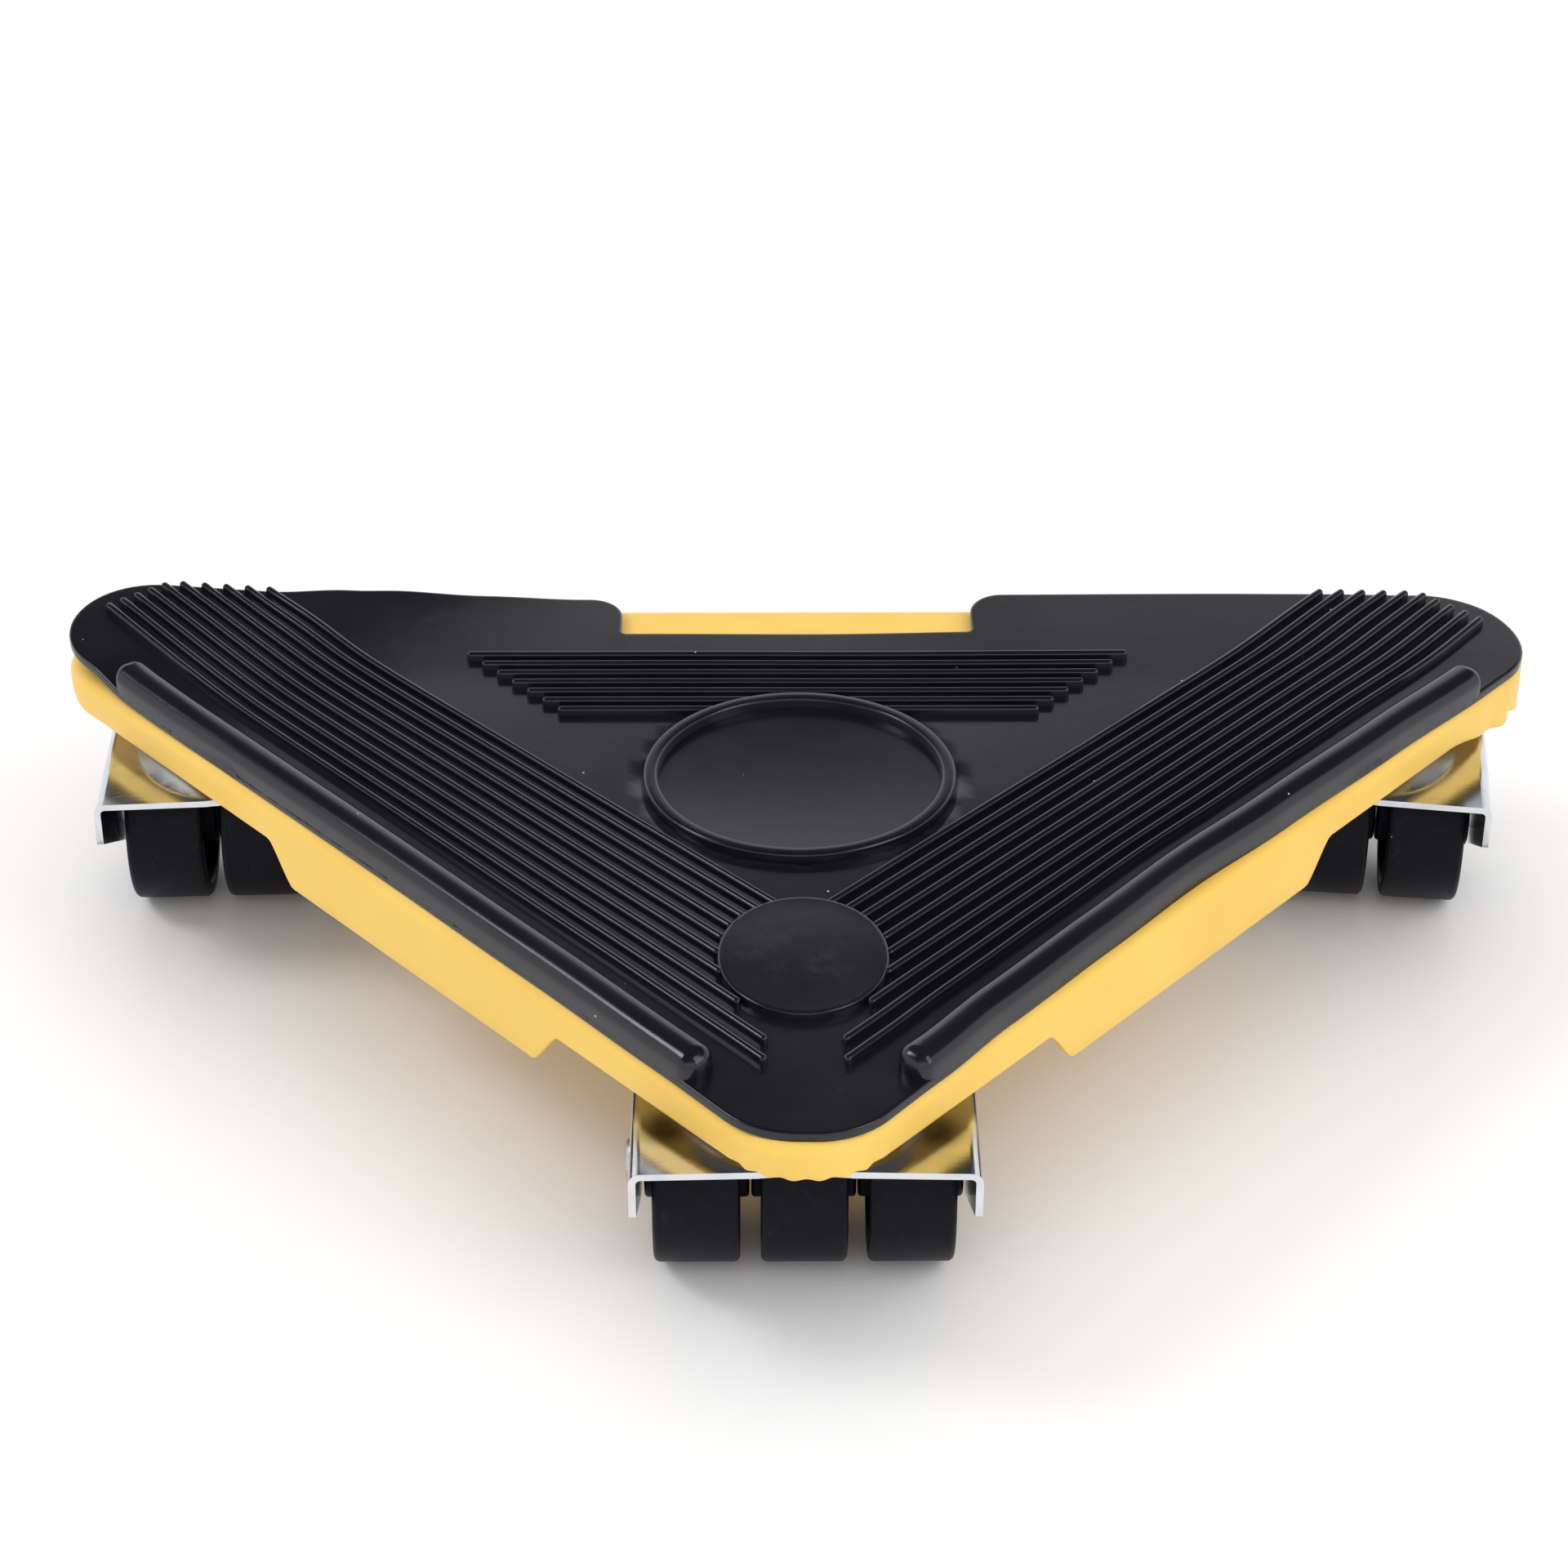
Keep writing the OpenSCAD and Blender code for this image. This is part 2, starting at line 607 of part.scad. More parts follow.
module axle(caster) {
    color(steel) at_caster(caster) translate([0, trail, wheel_r]) rotate([0, 90, 0])
        rotate_extrude() polygon(rounded([
            [0, -cheek_out - axle_head_h, 0],
            [axle_head_d / 2, -cheek_out - axle_head_h, axle_head_h * rivet_round],
            [axle_head_d / 2, -cheek_out, 0], [axle_d / 2, -cheek_out, 0],
            [axle_d / 2, cheek_out, 0], [axle_head_d / 2, cheek_out, 0],
            [axle_head_d / 2, cheek_out + axle_head_h, axle_head_h * rivet_round],
            [0, cheek_out + axle_head_h, 0]]));
}

// A wheel at place -1, 0 or 1 on its axle
module wheel(caster, place) {
    bore_r = axle_d / 2 + axle_clear;
    rim_in = wheel_r - rim_t;
    // Half of the section, from the bore's middle out along the hub and up to the tread
    half = [[bore_r, hub_l / 2, 0], [hub_r, hub_l / 2, hub_edge_r], [hub_r, web_t / 2, web_hub_r],
        [rim_in, web_t / 2, web_rim_r], [rim_in, tread_w / 2, rim_edge_r], [wheel_r, tread_w / 2, tread_r]];
    other = [for (i = [len(half) - 1:-1:0]) [half[i].x, -half[i].y, half[i].z]];
    color(wheel_black) at_caster(caster) translate([place * wheel_pitch, trail, wheel_r]) rotate([0, 90, 0])
        rotate_extrude() polygon(rounded(concat(half, other)));
}

deck();
rubber_mat();

swivel_cup(FRONT);  // front_swivel_cup
kingpin(FRONT);  // front_kingpin
bearing_balls(FRONT);  // front_bearing_balls
kingpin_washer(FRONT);  // front_kingpin_washer
bracket(FRONT);  // front_bracket
axle(FRONT);  // front_axle
wheel(FRONT, -1);  // front_wheel_left
wheel(FRONT, 0);  // front_wheel_middle
wheel(FRONT, 1);  // front_wheel_right

swivel_cup(LEFT);  // left_swivel_cup
kingpin(LEFT);  // left_kingpin
bearing_balls(LEFT);  // left_bearing_balls
kingpin_washer(LEFT);  // left_kingpin_washer
bracket(LEFT);  // left_bracket
axle(LEFT);  // left_axle
wheel(LEFT, -1);  // left_wheel_left
wheel(LEFT, 0);  // left_wheel_middle
wheel(LEFT, 1);  // left_wheel_right

swivel_cup(RIGHT);  // right_swivel_cup
kingpin(RIGHT);  // right_kingpin
bearing_balls(RIGHT);  // right_bearing_balls
kingpin_washer(RIGHT);  // right_kingpin_washer
bracket(RIGHT);  // right_bracket
axle(RIGHT);  // right_axle
wheel(RIGHT, -1);  // right_wheel_left
wheel(RIGHT, 0);  // right_wheel_middle
wheel(RIGHT, 1);  // right_wheel_right
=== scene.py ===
"""The looks of a three-cornered furniture dolly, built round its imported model.

Metres, +Z up, +X right, +Y from the front corner to the back edge. The origin lies on the floor.
"""

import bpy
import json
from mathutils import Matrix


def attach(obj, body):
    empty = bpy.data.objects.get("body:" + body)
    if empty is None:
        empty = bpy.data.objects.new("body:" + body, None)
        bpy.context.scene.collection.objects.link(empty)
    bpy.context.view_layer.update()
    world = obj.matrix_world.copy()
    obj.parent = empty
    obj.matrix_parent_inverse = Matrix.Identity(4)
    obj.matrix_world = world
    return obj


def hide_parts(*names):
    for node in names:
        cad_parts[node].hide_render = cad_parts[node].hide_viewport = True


bl_info = {
    "name": "Furniture Dolly",
    "version": (1, 0, 0),
    "blender": (4, 5, 0),
    "location": "3D View > Sidebar > Dolly",
    "description": "Pressed deck, ribbed rubber mat, swivel casters and a pale studio for a furniture dolly",
    "category": "Object",
}

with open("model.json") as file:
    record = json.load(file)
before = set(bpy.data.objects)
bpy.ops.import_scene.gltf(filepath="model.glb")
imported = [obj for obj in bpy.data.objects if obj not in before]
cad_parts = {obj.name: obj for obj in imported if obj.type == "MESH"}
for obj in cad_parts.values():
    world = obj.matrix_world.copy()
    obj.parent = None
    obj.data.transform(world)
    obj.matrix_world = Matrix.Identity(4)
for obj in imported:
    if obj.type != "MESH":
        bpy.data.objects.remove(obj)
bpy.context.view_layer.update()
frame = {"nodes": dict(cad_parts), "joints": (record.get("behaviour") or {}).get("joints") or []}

import json
from math import asin, atan2, cos, hypot, pi, radians, sin, sqrt

import bmesh
import bpy
from bpy.props import FloatProperty, FloatVectorProperty, IntProperty, PointerProperty
from bpy.types import Operator, Panel, PropertyGroup
from mathutils import Matrix, Vector

MM = 0.001
CASTERS = ("front", "left", "right")
PLACES = ("left", "middle", "right")

SAME = 0.001 * MM  # points nearer to each other than this are one
LEVEL = 1e-6  # a point this near to a height lies at it
ROOT = 1 * MM  # how deep the mat's raised parts reach into its sheet

GRIME = (0.25, 0.15, 0.04)
RUBBER_SPECK = (0.55, 0.55, 0.53)
FROSTED_ZINC = (0.54, 0.6, 0.68)
# colour of the painted dark reflections on the front bracket's zinc
PAINTED_REFLECTION_DARK = (0.05, 0.04, 0.03)
STAINED_STEEL = (0.36, 0.34, 0.32)
NYLON_SCUFF = (0.3, 0.29, 0.28)
NYLON_SPECK = (0.4, 0.4, 0.38)
FRONT_SPOTS = ((-28, -84), (26, -85))  # middles of the front bracket's two painted dark reflections, in millimetres
PAD_MIDDLE = (0, -46.5 * MM, 59 * MM)  # where the rubber is smudged

CAMERA_PLACE = (-0.00907, -0.6758, 0.4896)
CAMERA_TURNS = ((-0.455, "Z"), (90 - 31.61, "X"), (0.11, "Z"))  # degrees of heading, tilt and roll
LAMPS = (
    # name, place, width and length, watts
    ("key", (-1.0, 0.1, 1.0), (0.4, 0.4), 4),
    ("side", (0.9, -0.5, 0.8), (0.6, 0.9), 4),
    ("front", (0.1, -1.4, 0.9), (1.4, 0.8), 1),
)
LAMP_TARGET = Vector((0, 0, 0.04))


def length(label, text, millimetres):
    """A size that a user may change, given in millimetres and kept in metres."""
    return FloatProperty(name=label, description=text, default=millimetres * MM, min=0, precision=5,
                         subtype="DISTANCE", unit="LENGTH")


def fraction(label, text, value, high=1.0):
    """A strength that a user may change, where 1 is as it comes."""
    return FloatProperty(name=label, description=text, default=value, min=0, max=high, subtype="FACTOR")


def colour(label, text, value):
    """A colour that a user may change, in linear values."""
    return FloatVectorProperty(name=label, description=text, default=value, size=3, min=0, max=1,
                               subtype="COLOR")


class DollyDeck(PropertyGroup):
    """Sizes of the pressed deck"""
    width: length("Width", "Width of the deck along its back edge", 346)
    depth: length("Depth", "Depth of the deck from its back edge to its front corner", 217)
    top: length("Top", "Height of the deck's upper face above the floor", 57.2)
    rear_radius: length("Rear radius", "Radius of the two rear corners", 21)
    front_radius: length("Front radius", "Radius of the front corner", 16)
    sheet: length("Sheet", "Thickness of the steel sheet", 1.5)
    bend: length("Bend", "Radius of the bend between the top and the rim", 3)
    rim: length("Rim", "Depth of the rim round the corners", 8.8)
    skirt: length("Skirt", "Depth of the skirt along the middle of each side", 18.2)
    skirt_front: length("Front gap", "Shallow rim between the front corner and a side skirt", 59)
    skirt_rear: length("Rear gap", "Shallow rim between a rear corner and a side skirt", 74)
    skirt_back: length("Back gap", "Shallow rim between a rear corner and the back skirt", 62)
    slope: length("Slope", "Length of the slope at each end of a skirt", 8)
    lift: length("Lift", "How much shallower the rim is round a corner", 1.2)
    droop: length("Droop", "How much lower the rim hangs round the right rear corner", 7)
    wrinkle: length("Wrinkle", "Depth of the wrinkles that the sheet gathers in at a corner", 0.9)


class DollyMat(PropertyGroup):
    """Sizes of the rubber mat"""
    sheet: length("Sheet", "Thickness of the mat's sheet", 2)
    inset: length("Inset", "Distance of the mat's edge inside the deck's outer face", 1)
    front_radius: length("Front radius", "Radius of the mat's front corner", 20)
    edge: length("Edge", "Rounding of the mat's upper edge", 0.5)
    notch_width: length("Notch width", "Width of the notch in the back edge", 84)
    notch_depth: length("Notch depth", "Depth of the notch", 16)
    notch_radius: length("Notch radius", "Radius of the notch's shoulders", 8)
    rib_width: length("Rib width", "Width of a rib", 1.8)
    rib_height: length("Rib height", "Height of a rib above the sheet", 2)
    rib_count: IntProperty(name="Side ribs", description="Ribs along each side", default=10, min=1, max=11)
    rib_pitch: length("Rib pitch", "Distance between neighbouring side ribs", 4.4)
    rib_inset: length("Rib inset", "Distance from the deck's side face to the outermost rib", 16.8)
    rib_squeeze: length("Rib squeeze", "How much nearer together the side ribs lie at the back edge", 0.52)
    back_count: IntProperty(name="Back ribs", description="Ribs across the back", default=7, min=1, max=8)
    back_pitch: length("Back pitch", "Distance between neighbouring back ribs", 4.2)
    back_inset: length("Back inset", "Distance from the deck's back face to the rearmost back rib", 28.9)
    back_length: length("Back length", "Length of the rearmost back rib", 156)
    back_step: length("Back step", "How much shorter each back rib is than the one behind it", 7.5)
    ring_radius: length("Ring radius", "Outer radius of the large ring", 35)
    ring_width: length("Ring width", "Width of the ring's wall", 3.2)
    ring_height: length("Ring height", "Height of the ring above the sheet", 2.5)
    ring_place: length("Ring place", "Distance of the ring's centre behind the middle", 25.5)
    dish: length("Dish", "Depth of the dish inside the ring", 0.8)
    pad_width: length("Pad width", "Width of the front pad", 35.7)
    pad_length: length("Pad length", "Length of the front pad", 43)
    pad_height: length("Pad height", "Height of the front pad above the sheet", 2)
    pad_place: length("Pad place", "Distance of the pad's centre in front of the middle", 46.5)
    bar_width: length("Bar width", "Width of the round-topped bar along each side", 8.4)
    bar_height: length("Bar height", "Height of the bar above the sheet", 5.5)
    bar_radius: length("Bar radius", "Rounding of the bar's upper edges", 3.6)
    curl: fraction("Lift", "How much of its lift the back of the mat has", 1)


class DollyBracket(PropertyGroup):
    """How the brackets are drawn out at their front edges"""
    top: length("Top", "Height of the bracket's flat top above the floor", 44.2)
    bend: length("Bend", "Radius of the bends between the top and the cheeks", 2.5)
    half: length("Half width", "Half the width of the top", 33)
    cheek: length("Cheek", "Depth of a cheek at its front edge before it is drawn out", 8.4)
    drop: length("Drop", "How much deeper the cheeks are at their front edges", 2.6)
    reach: length("Reach", "How much further forward the front edge stands", 1.5)
    bow: length("Bow", "How far the front edge bows upwards in the middle", 0.6)
    still: length("Still", "Distance in front of the kingpin where the change begins", 8)


class DollyFinish(PropertyGroup):
    """Colours of the dolly"""
    paint: colour("Powder coat", "Yellow powder coat of the deck", (0.91, 0.6, 0.115))
    rubber: colour("Rubber", "Black rubber of the mat", (0.0055, 0.0055, 0.0095))
    dust: colour("Dust", "Dust and rub marks on the rubber", (0.32, 0.31, 0.3))
    zinc: colour("Zinc", "Bright zinc plating of the brackets", (0.72, 0.74, 0.77))
    steel: colour("Steel", "Bright steel of pins, balls and axles", (0.56, 0.56, 0.57))
    nylon: colour("Nylon", "Black nylon of the wheels", (0.005, 0.005, 0.009))


class DollyStage(PropertyGroup):
    """Camera, lamps and floor"""
    floor: colour("Floor", "Colour of the floor", (0.95, 0.95, 0.95))
    lens: length("Lens", "Focal length of the camera", 84.375)
    key: fraction("Lamps", "Strength of the three lamps", 1, 10)
    fill: fraction("Fill", "Strength of the light from all round", 1, 10)


def profile(value, stops):
    """Reads a curve given by (place, height) stops, eased between them."""
    if value <= stops[0][0]:
        return stops[0][1]
    for (a, low), (b, high) in zip(stops, stops[1:]):
        if value <= b:
            return low + (high - low) * ease((value - a) / (b - a))
    return stops[-1][1]


def ease(t):
    """A smooth step from 0 at 0 to 1 at 1."""
    t = min(max(t, 0), 1)
    return t * t * (3 - 2 * t)


def ramp(value, bend):
    """Rises from about 0 before 0 to twice the value beyond it, through a soft bend."""
    return value + hypot(value, bend)


class Plan:
    """The deck's rounded triangle: its corner centres, and the lean of its two slanting sides."""

    def __init__(self, deck):
        self.deck = deck
        self.rear = Vector((deck.width / 2 - deck.rear_radius, deck.depth / 2 - deck.rear_radius))
        self.front = -deck.depth / 2 + deck.front_radius
        gap = hypot(self.rear.x, self.rear.y - self.front)
        spread = deck.rear_radius - deck.front_radius
        self.lean = atan2(self.rear.x, self.rear.y - self.front) + asin(spread / gap)
        self.side = sqrt(gap ** 2 - spread ** 2)

    def corners(self, front, front_radius, rear_radius):
        """Arcs (centre, radius, from, to) round a rounded triangle with the same sides."""
        lean = self.lean
        return [
            ((0, front), front_radius, pi + lean, 2 * pi - lean),
            (tuple(self.rear), rear_radius, -lean, pi / 2),
            ((-self.rear.x, self.rear.y), rear_radius, pi / 2, pi + lean),
        ]

    def on_side(self, x, y):
        """(along, inside): the distance along the nearer slanting side, and in from its outer face."""
        x = abs(x)
        along = x * sin(self.lean) + (y - self.front) * cos(self.lean)
        inside = self.deck.front_radius - (x * cos(self.lean) - (y - self.front) * sin(self.lean))
        return along, inside

    def beside(self, sign, along, inside):
        """The turn and place of a piece that runs along a slanting side, which is -1 or 1."""
        return (Matrix.Translation((0, self.front, 0)) @ Matrix.Rotation(-sign * self.lean, 4, "Z")
                @ Matrix.Translation((sign * (self.deck.front_radius - inside), along, 0)))


def outline(arcs, step=0.0, turn=radians(6)):
    """A flat face whose edge runs round these arcs. Straight stretches are cut into steps."""
    bm = bmesh.new()
    runs = []
    for (x, y), radius, start, end in arcs:
        count = len(bm.verts)
        first = bm.verts.new((x + radius * cos(start), y + radius * sin(start), 0))
        bmesh.ops.spin(bm, geom=[first], cent=(x, y, 0), axis=(0, 0, 1), angle=end - start,
                       steps=max(2, round(abs(end - start) / turn)))
        runs.append(list(bm.verts)[count:])
    joins = [bm.edges.new((a[-1], b[0])) for a, b in zip(runs, runs[1:] + runs[:1])]
    if step:
        for edge in joins:
            cuts = round(edge.calc_length() / step) - 1
            if cuts > 0:
                bmesh.ops.subdivide_edges(bm, edges=[edge], cuts=cuts)
    bmesh.ops.contextual_create(bm, geom=bm.edges[:])
    return bm


def round_edges(bm, edges, offset, segments):
    """Bevels edges to a rounding of that radius."""
    bmesh.ops.bevel(bm, geom=edges, offset=offset, offset_type="OFFSET", affect="EDGES",
                    segments=segments, profile=0.5, clamp_overlap=False, material=-1)


def top_face(bm, height):
    """The largest flat face at a height."""
    return max((f for f in bm.faces if all(abs(v.co.z - height) < LEVEL for v in f.verts)),
               key=lambda f: f.calc_area())


def round_top(bm, height, radius, segments, border=0.0):
    """Rounds the edges of the face at a height, and may leave a narrow border inside them."""
    round_edges(bm, list(top_face(bm, height).edges), radius, segments)
    if border:
        bmesh.ops.inset_region(bm, faces=[top_face(bm, height)], thickness=border, use_even_offset=True)


def block(bm, height):
    """Gives a sheet of faces its thickness, upwards or, with a height below 0, downwards."""
    raised = bmesh.ops.extrude_face_region(bm, geom=bm.faces[:], use_keep_orig=True)
    bmesh.ops.translate(bm, vec=(0, 0, height),
                        verts=[v for v in raised["geom"] if isinstance(v, bmesh.types.BMVert)])
    bmesh.ops.recalc_face_normals(bm, faces=bm.faces)


def cut_across(bm, axis, step):
    """Cuts a shape into slices along an axis, so that it can bend."""
    places = [v.co[axis] for v in bm.verts]
    low, high = min(places), max(places)
    normal = Vector((0, 0, 0))
    normal[axis] = 1
    slices = int((high - low) / step)
    for k in range(1, slices):
        bmesh.ops.bisect_plane(bm, geom=bm.verts[:] + bm.edges[:] + bm.faces[:],
                               plane_co=normal * (low + (high - low) * k / slices), plane_no=normal)


def rounded_bar(size, end_radius, top_radius, segments=4, step=4 * MM):
    """A bar along +Y that stands on the floor of its own space, with rounded ends and upper edges."""
    bm = bmesh.new()
    bmesh.ops.create_cube(bm, size=1)
    bmesh.ops.translate(bm, vec=(0, 0.5, 0.5), verts=bm.verts)
    bmesh.ops.scale(bm, vec=size, verts=bm.verts)
    upright = [e for e in bm.edges if abs(e.verts[0].co.z - e.verts[1].co.z) > size[2] / 2]
    round_edges(bm, upright, end_radius, segments + 1)
    round_top(bm, size[2], top_radius, segments)
    cut_across(bm, 1, step)
    return bm


def gather(target, part, matrix=Matrix.Identity(4)):
    """Puts a finished shape in its place and joins it to another."""
    bmesh.ops.transform(part, matrix=matrix, verts=part.verts)
    mesh = bpy.data.meshes.new("part")
    part.to_mesh(mesh)
    part.free()
    target.from_mesh(mesh)
    bpy.data.meshes.remove(mesh)


def place_object(name, bm, material):
    """Makes an object of a finished shape."""
    mesh = bpy.data.meshes.new(name)
    bm.to_mesh(mesh)
    bm.free()
    mesh.materials.append(material)
    made = bpy.data.objects.new(name, mesh)
    bpy.context.scene.collection.objects.link(made)
    return made


def piece(name, bm, body, material, nodes, sharp=40):
    """Makes a piece that rides on a body and stands for CAD nodes."""
    made = place_object(name, bm, material)
    made.data.polygons.foreach_set("use_smooth", [True] * len(made.data.polygons))
    made.data.set_sharp_from_angle(angle=radians(sharp))
    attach(made, body)
    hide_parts(*nodes)
    return made


def dress(material, *nodes):
    """Gives CAD nodes a material in their own material slots."""
    for name in nodes:
        mesh = frame["nodes"][name].data
        if not mesh.materials:
            mesh.materials.append(material)
        for k in range(len(mesh.materials)):
            mesh.materials[k] = material


class Wire:
    """The output of a shader node, so that maths on it reads as a Python expression."""

    def __init__(self, finish, socket):
        self.finish, self.socket = finish, socket

    def maths(self, operation, *values):
        return self.finish.node("ShaderNodeMath", {"operation": operation}, values)

    def __add__(self, other):
        return self.maths("ADD", self, other)

    def __radd__(self, other):
        return self.maths("ADD", other, self)

    def __sub__(self, other):
        return self.maths("SUBTRACT", self, other)

    def __rsub__(self, other):
        return self.maths("SUBTRACT", other, self)

    def __mul__(self, other):
        return self.maths("MULTIPLY", self, other)

    def __rmul__(self, other):
        return self.maths("MULTIPLY", other, self)


class Finish:
    """A material whose nodes are added one call at a time."""

    def __init__(self, name, **sockets):
        self.material = bpy.data.materials.new(name)
        self.take(self.material, "BSDF_PRINCIPLED", "Object")
        self.set(**sockets)

    @classmethod
    def of_world(cls, world):
        """The same for a world, whose shader is its background."""
        sky = cls.__new__(cls)
        sky.take(world, "BACKGROUND", "Generated")
        return sky

    def take(self, owner, kind, place):
        """Finds the shader of a material or a world, and adds the coordinates to work from."""
        owner.use_nodes = True
        self.tree = owner.node_tree
        self.shader = next(n for n in self.tree.nodes if n.type == kind)
        self.place = self.node("ShaderNodeTexCoord", output=place)

    def light_path(self, *kinds):
        """1 for a ray of one of these kinds, otherwise 0."""
        wires = [self.node("ShaderNodeLightPath", output=f"Is {kind} Ray") for kind in kinds]
        seen = wires[0]
        for wire in wires[1:]:
            seen = seen.maths("MAXIMUM", seen, wire)
        return seen

    def feed(self, socket, value):
        if isinstance(value, Wire):
            self.tree.links.new(value.socket, socket)
        elif hasattr(value, "__len__") and len(value) == 3 and socket.type == "RGBA":
            socket.default_value = (*value, 1)
        else:
            socket.default_value = value

    def node(self, kind, settings=None, inputs=(), output=0):
        """Adds a node: its settings come first, then the values or wires of its sockets."""
        made = self.tree.nodes.new(kind)
        for name, value in (settings or {}).items():
            setattr(made, name, value)
        for key, value in inputs.items() if isinstance(inputs, dict) else enumerate(inputs):
            self.feed(made.inputs[key], value)
        return Wire(self, made.outputs[output])

    def set(self, **sockets):
        """Feeds the shader's own sockets."""
        for key, value in sockets.items():
            self.feed(self.shader.inputs[key.replace("_", " ")], value)

    def at(self, centre=(0, 0, 0), turn=0.0, stretch=(1, 1, 1)):
        """Object coordinates moved to a centre, turned about +Z and stretched."""
        moved = self.node("ShaderNodeMapping", {"vector_type": "TEXTURE"},
                          {"Vector": self.place, "Location": centre, "Rotation": (0, 0, turn)})
        return self.node("ShaderNodeMapping", {}, {"Vector": moved, "Scale": stretch})

    def noise(self, grain, detail=2.0, rough=0.5, vector=None):
        """Noise whose lumps are about a grain across, from 0 to 1."""
        return self.node("ShaderNodeTexNoise", {}, {"Vector": vector or self.place, "Scale": 1 / grain,
                                                    "Detail": detail, "Roughness": rough})

    def band(self, value, low, high):
        """Eases a value from 0 at low to 1 at high."""
        return self.node("ShaderNodeMapRange", {"interpolation_type": "SMOOTHSTEP"},
                         {"Value": value, "From Min": low, "From Max": high})

    def specks(self, grain, size, chance):
        """Round specks a size across, in a part of the cells of a grain."""
        near = self.node("ShaderNodeTexVoronoi", {}, {"Vector": self.place, "Scale": 1 / grain}, "Distance")
        pick = self.node("ShaderNodeTexVoronoi", {}, {"Vector": self.place, "Scale": 1 / grain}, "Color")
        chosen = self.node("ShaderNodeSeparateColor", {}, [pick], "Red")
        within = 1 - self.band(near, size / grain * 0.6, size / grain)
        return within * self.band(chosen, 1 - chance, 1.01 - chance)

    def blend(self, mask, a, b):
        """Colour a where the mask is 0, and b where it is 1."""
        return self.node("ShaderNodeMix", {"data_type": "RGBA"}, {0: mask, 6: a, 7: b}, 2)

    def bump(self, height, distance, strength=1.0):
        """Raises the surface by a height times a distance."""
        return self.node("ShaderNodeBump", {}, {"Strength": strength, "Distance": distance, "Height": height})

    def rise(self):
        """Height within the object's or the world's own coordinates."""
        return self.node("ShaderNodeSeparateXYZ", {}, [self.place], "Z")

    def flat(self, vector):
        """The same vector without its height."""
        return self.node("ShaderNodeVectorMath", {"operation": "MULTIPLY"}, [vector, (1, 1, 0)])

    def span(self, *vectors):
        """Length of one vector, or the distance between two."""
        operation = "LENGTH" if len(vectors) == 1 else "DISTANCE"
        return self.node("ShaderNodeVectorMath", {"operation": operation}, vectors, "Value")


def powder_coat(paint):
    """Yellow powder coat: a fine orange peel and slightly uneven cover."""
    coat = Finish("powder_coat_yellow", Specular_IOR_Level=0.5)
    cloud = coat.noise(45 * MM, 2)
    fine = coat.noise(0.9 * MM, 2, 0.6)
    deep = tuple(c * k for c, k in zip(paint, (0.95, 0.9, 0.8)))
    shade = coat.blend(coat.band(cloud, 0.35, 0.7), deep, paint)
    grime = coat.specks(7 * MM, 0.22 * MM, 0.12)
    coat.set(Base_Color=coat.blend(grime, shade, GRIME),
             Roughness=0.34 + 0.1 * fine + 0.06 * cloud,
             Normal=coat.bump(fine + 2 * coat.noise(4 * MM, 1), 0.035 * MM, 0.7))
    return coat.material


def moulded_rubber(rubber, dust):
    """Black moulded rubber: a satin skin with a fine tooth, cloudy bloom, rub marks and white specks."""
    skin = Finish("moulded_rubber_black", Specular_IOR_Level=0.5)
    cloud = skin.band(skin.noise(38 * MM, 3, 0.6), 0.35, 0.75)
    tooth = skin.noise(0.35 * MM, 2, 0.7)
    rub = skin.band(skin.noise(9 * MM, 5, 0.75, skin.at(turn=0.5, stretch=(1, 3, 1))), 0.58, 0.8)
    near_pad = 1 - skin.band(skin.span(skin.at(PAD_MIDDLE)), 8 * MM, 20 * MM)
    smudge = near_pad * skin.band(skin.noise(5 * MM, 4, 0.7), 0.45, 0.75)
    specks = skin.specks(6 * MM, 0.3 * MM, 0.1) + skin.specks(13 * MM, 0.42 * MM, 0.12)
    veil = 0.008 * cloud + 0.015 * rub + 0.015 * smudge
    shade = skin.blend(veil, rubber, dust)
    skin.set(Base_Color=skin.blend(specks, shade, RUBBER_SPECK),
             Roughness=0.15 + 0.05 * cloud + 0.08 * rub + 0.07 * smudge + 0.03 * tooth,
             Normal=skin.bump(tooth + 0.8 * skin.noise(2.4 * MM, 2), 0.02 * MM, 0.5))
    return skin.material


def zinc_plate(name, zinc, centre, turn, spots=()):
    """Bright zinc plating: rolling lines, a frosted ring round the kingpin, scratches and painted dark
    reflections.
    """
    plate = Finish("zinc_plate_" + name, Metallic=1.0)
    out = plate.span(plate.flat(plate.at(centre, turn)))
    lines = plate.noise(1 * MM, 3, 0.6, plate.at(centre, turn, (0.06, 1.6, 1)))
    cloud = plate.noise(9 * MM, 3, 0.6)
    ragged = out + 7 * MM * (cloud - 0.5)
    frost = plate.band(ragged, 10 * MM, 19 * MM) * (1 - plate.band(ragged, 23 * MM, 32 * MM))
    scratch = plate.band(plate.noise(2.2 * MM, 4, 0.7, plate.at(centre, turn + 0.6, (0.25, 2, 1))), 0.62, 0.72)
    dull = tuple(c * k for c, k in zip(zinc, (0.72, 0.76, 0.84)))
    tone_and_reflections = plate.blend(plate.band(cloud, 0.4, 0.75) * 0.5, zinc, dull)
    # Painted dark reflections: the zinc colour is darkened round each of these spots.
    for x, y in spots:
        away = plate.span(plate.flat(plate.place), (x * MM, y * MM, 0))
        tone_and_reflections = plate.blend(0.85 * (1 - plate.band(away, 1.5 * MM, 8 * MM)), tone_and_reflections, PAINTED_REFLECTION_DARK)
    plate.set(Base_Color=plate.blend(frost * 0.8, tone_and_reflections, FROSTED_ZINC),
              Roughness=0.09 + 0.06 * lines + 0.07 * cloud + 0.36 * frost + 0.12 * scratch,
              Normal=plate.bump(lines * 0.6 + frost * plate.noise(0.8 * MM, 3, 0.7) + scratch * 0.4,
                                0.03 * MM, 0.5))
    return plate.material


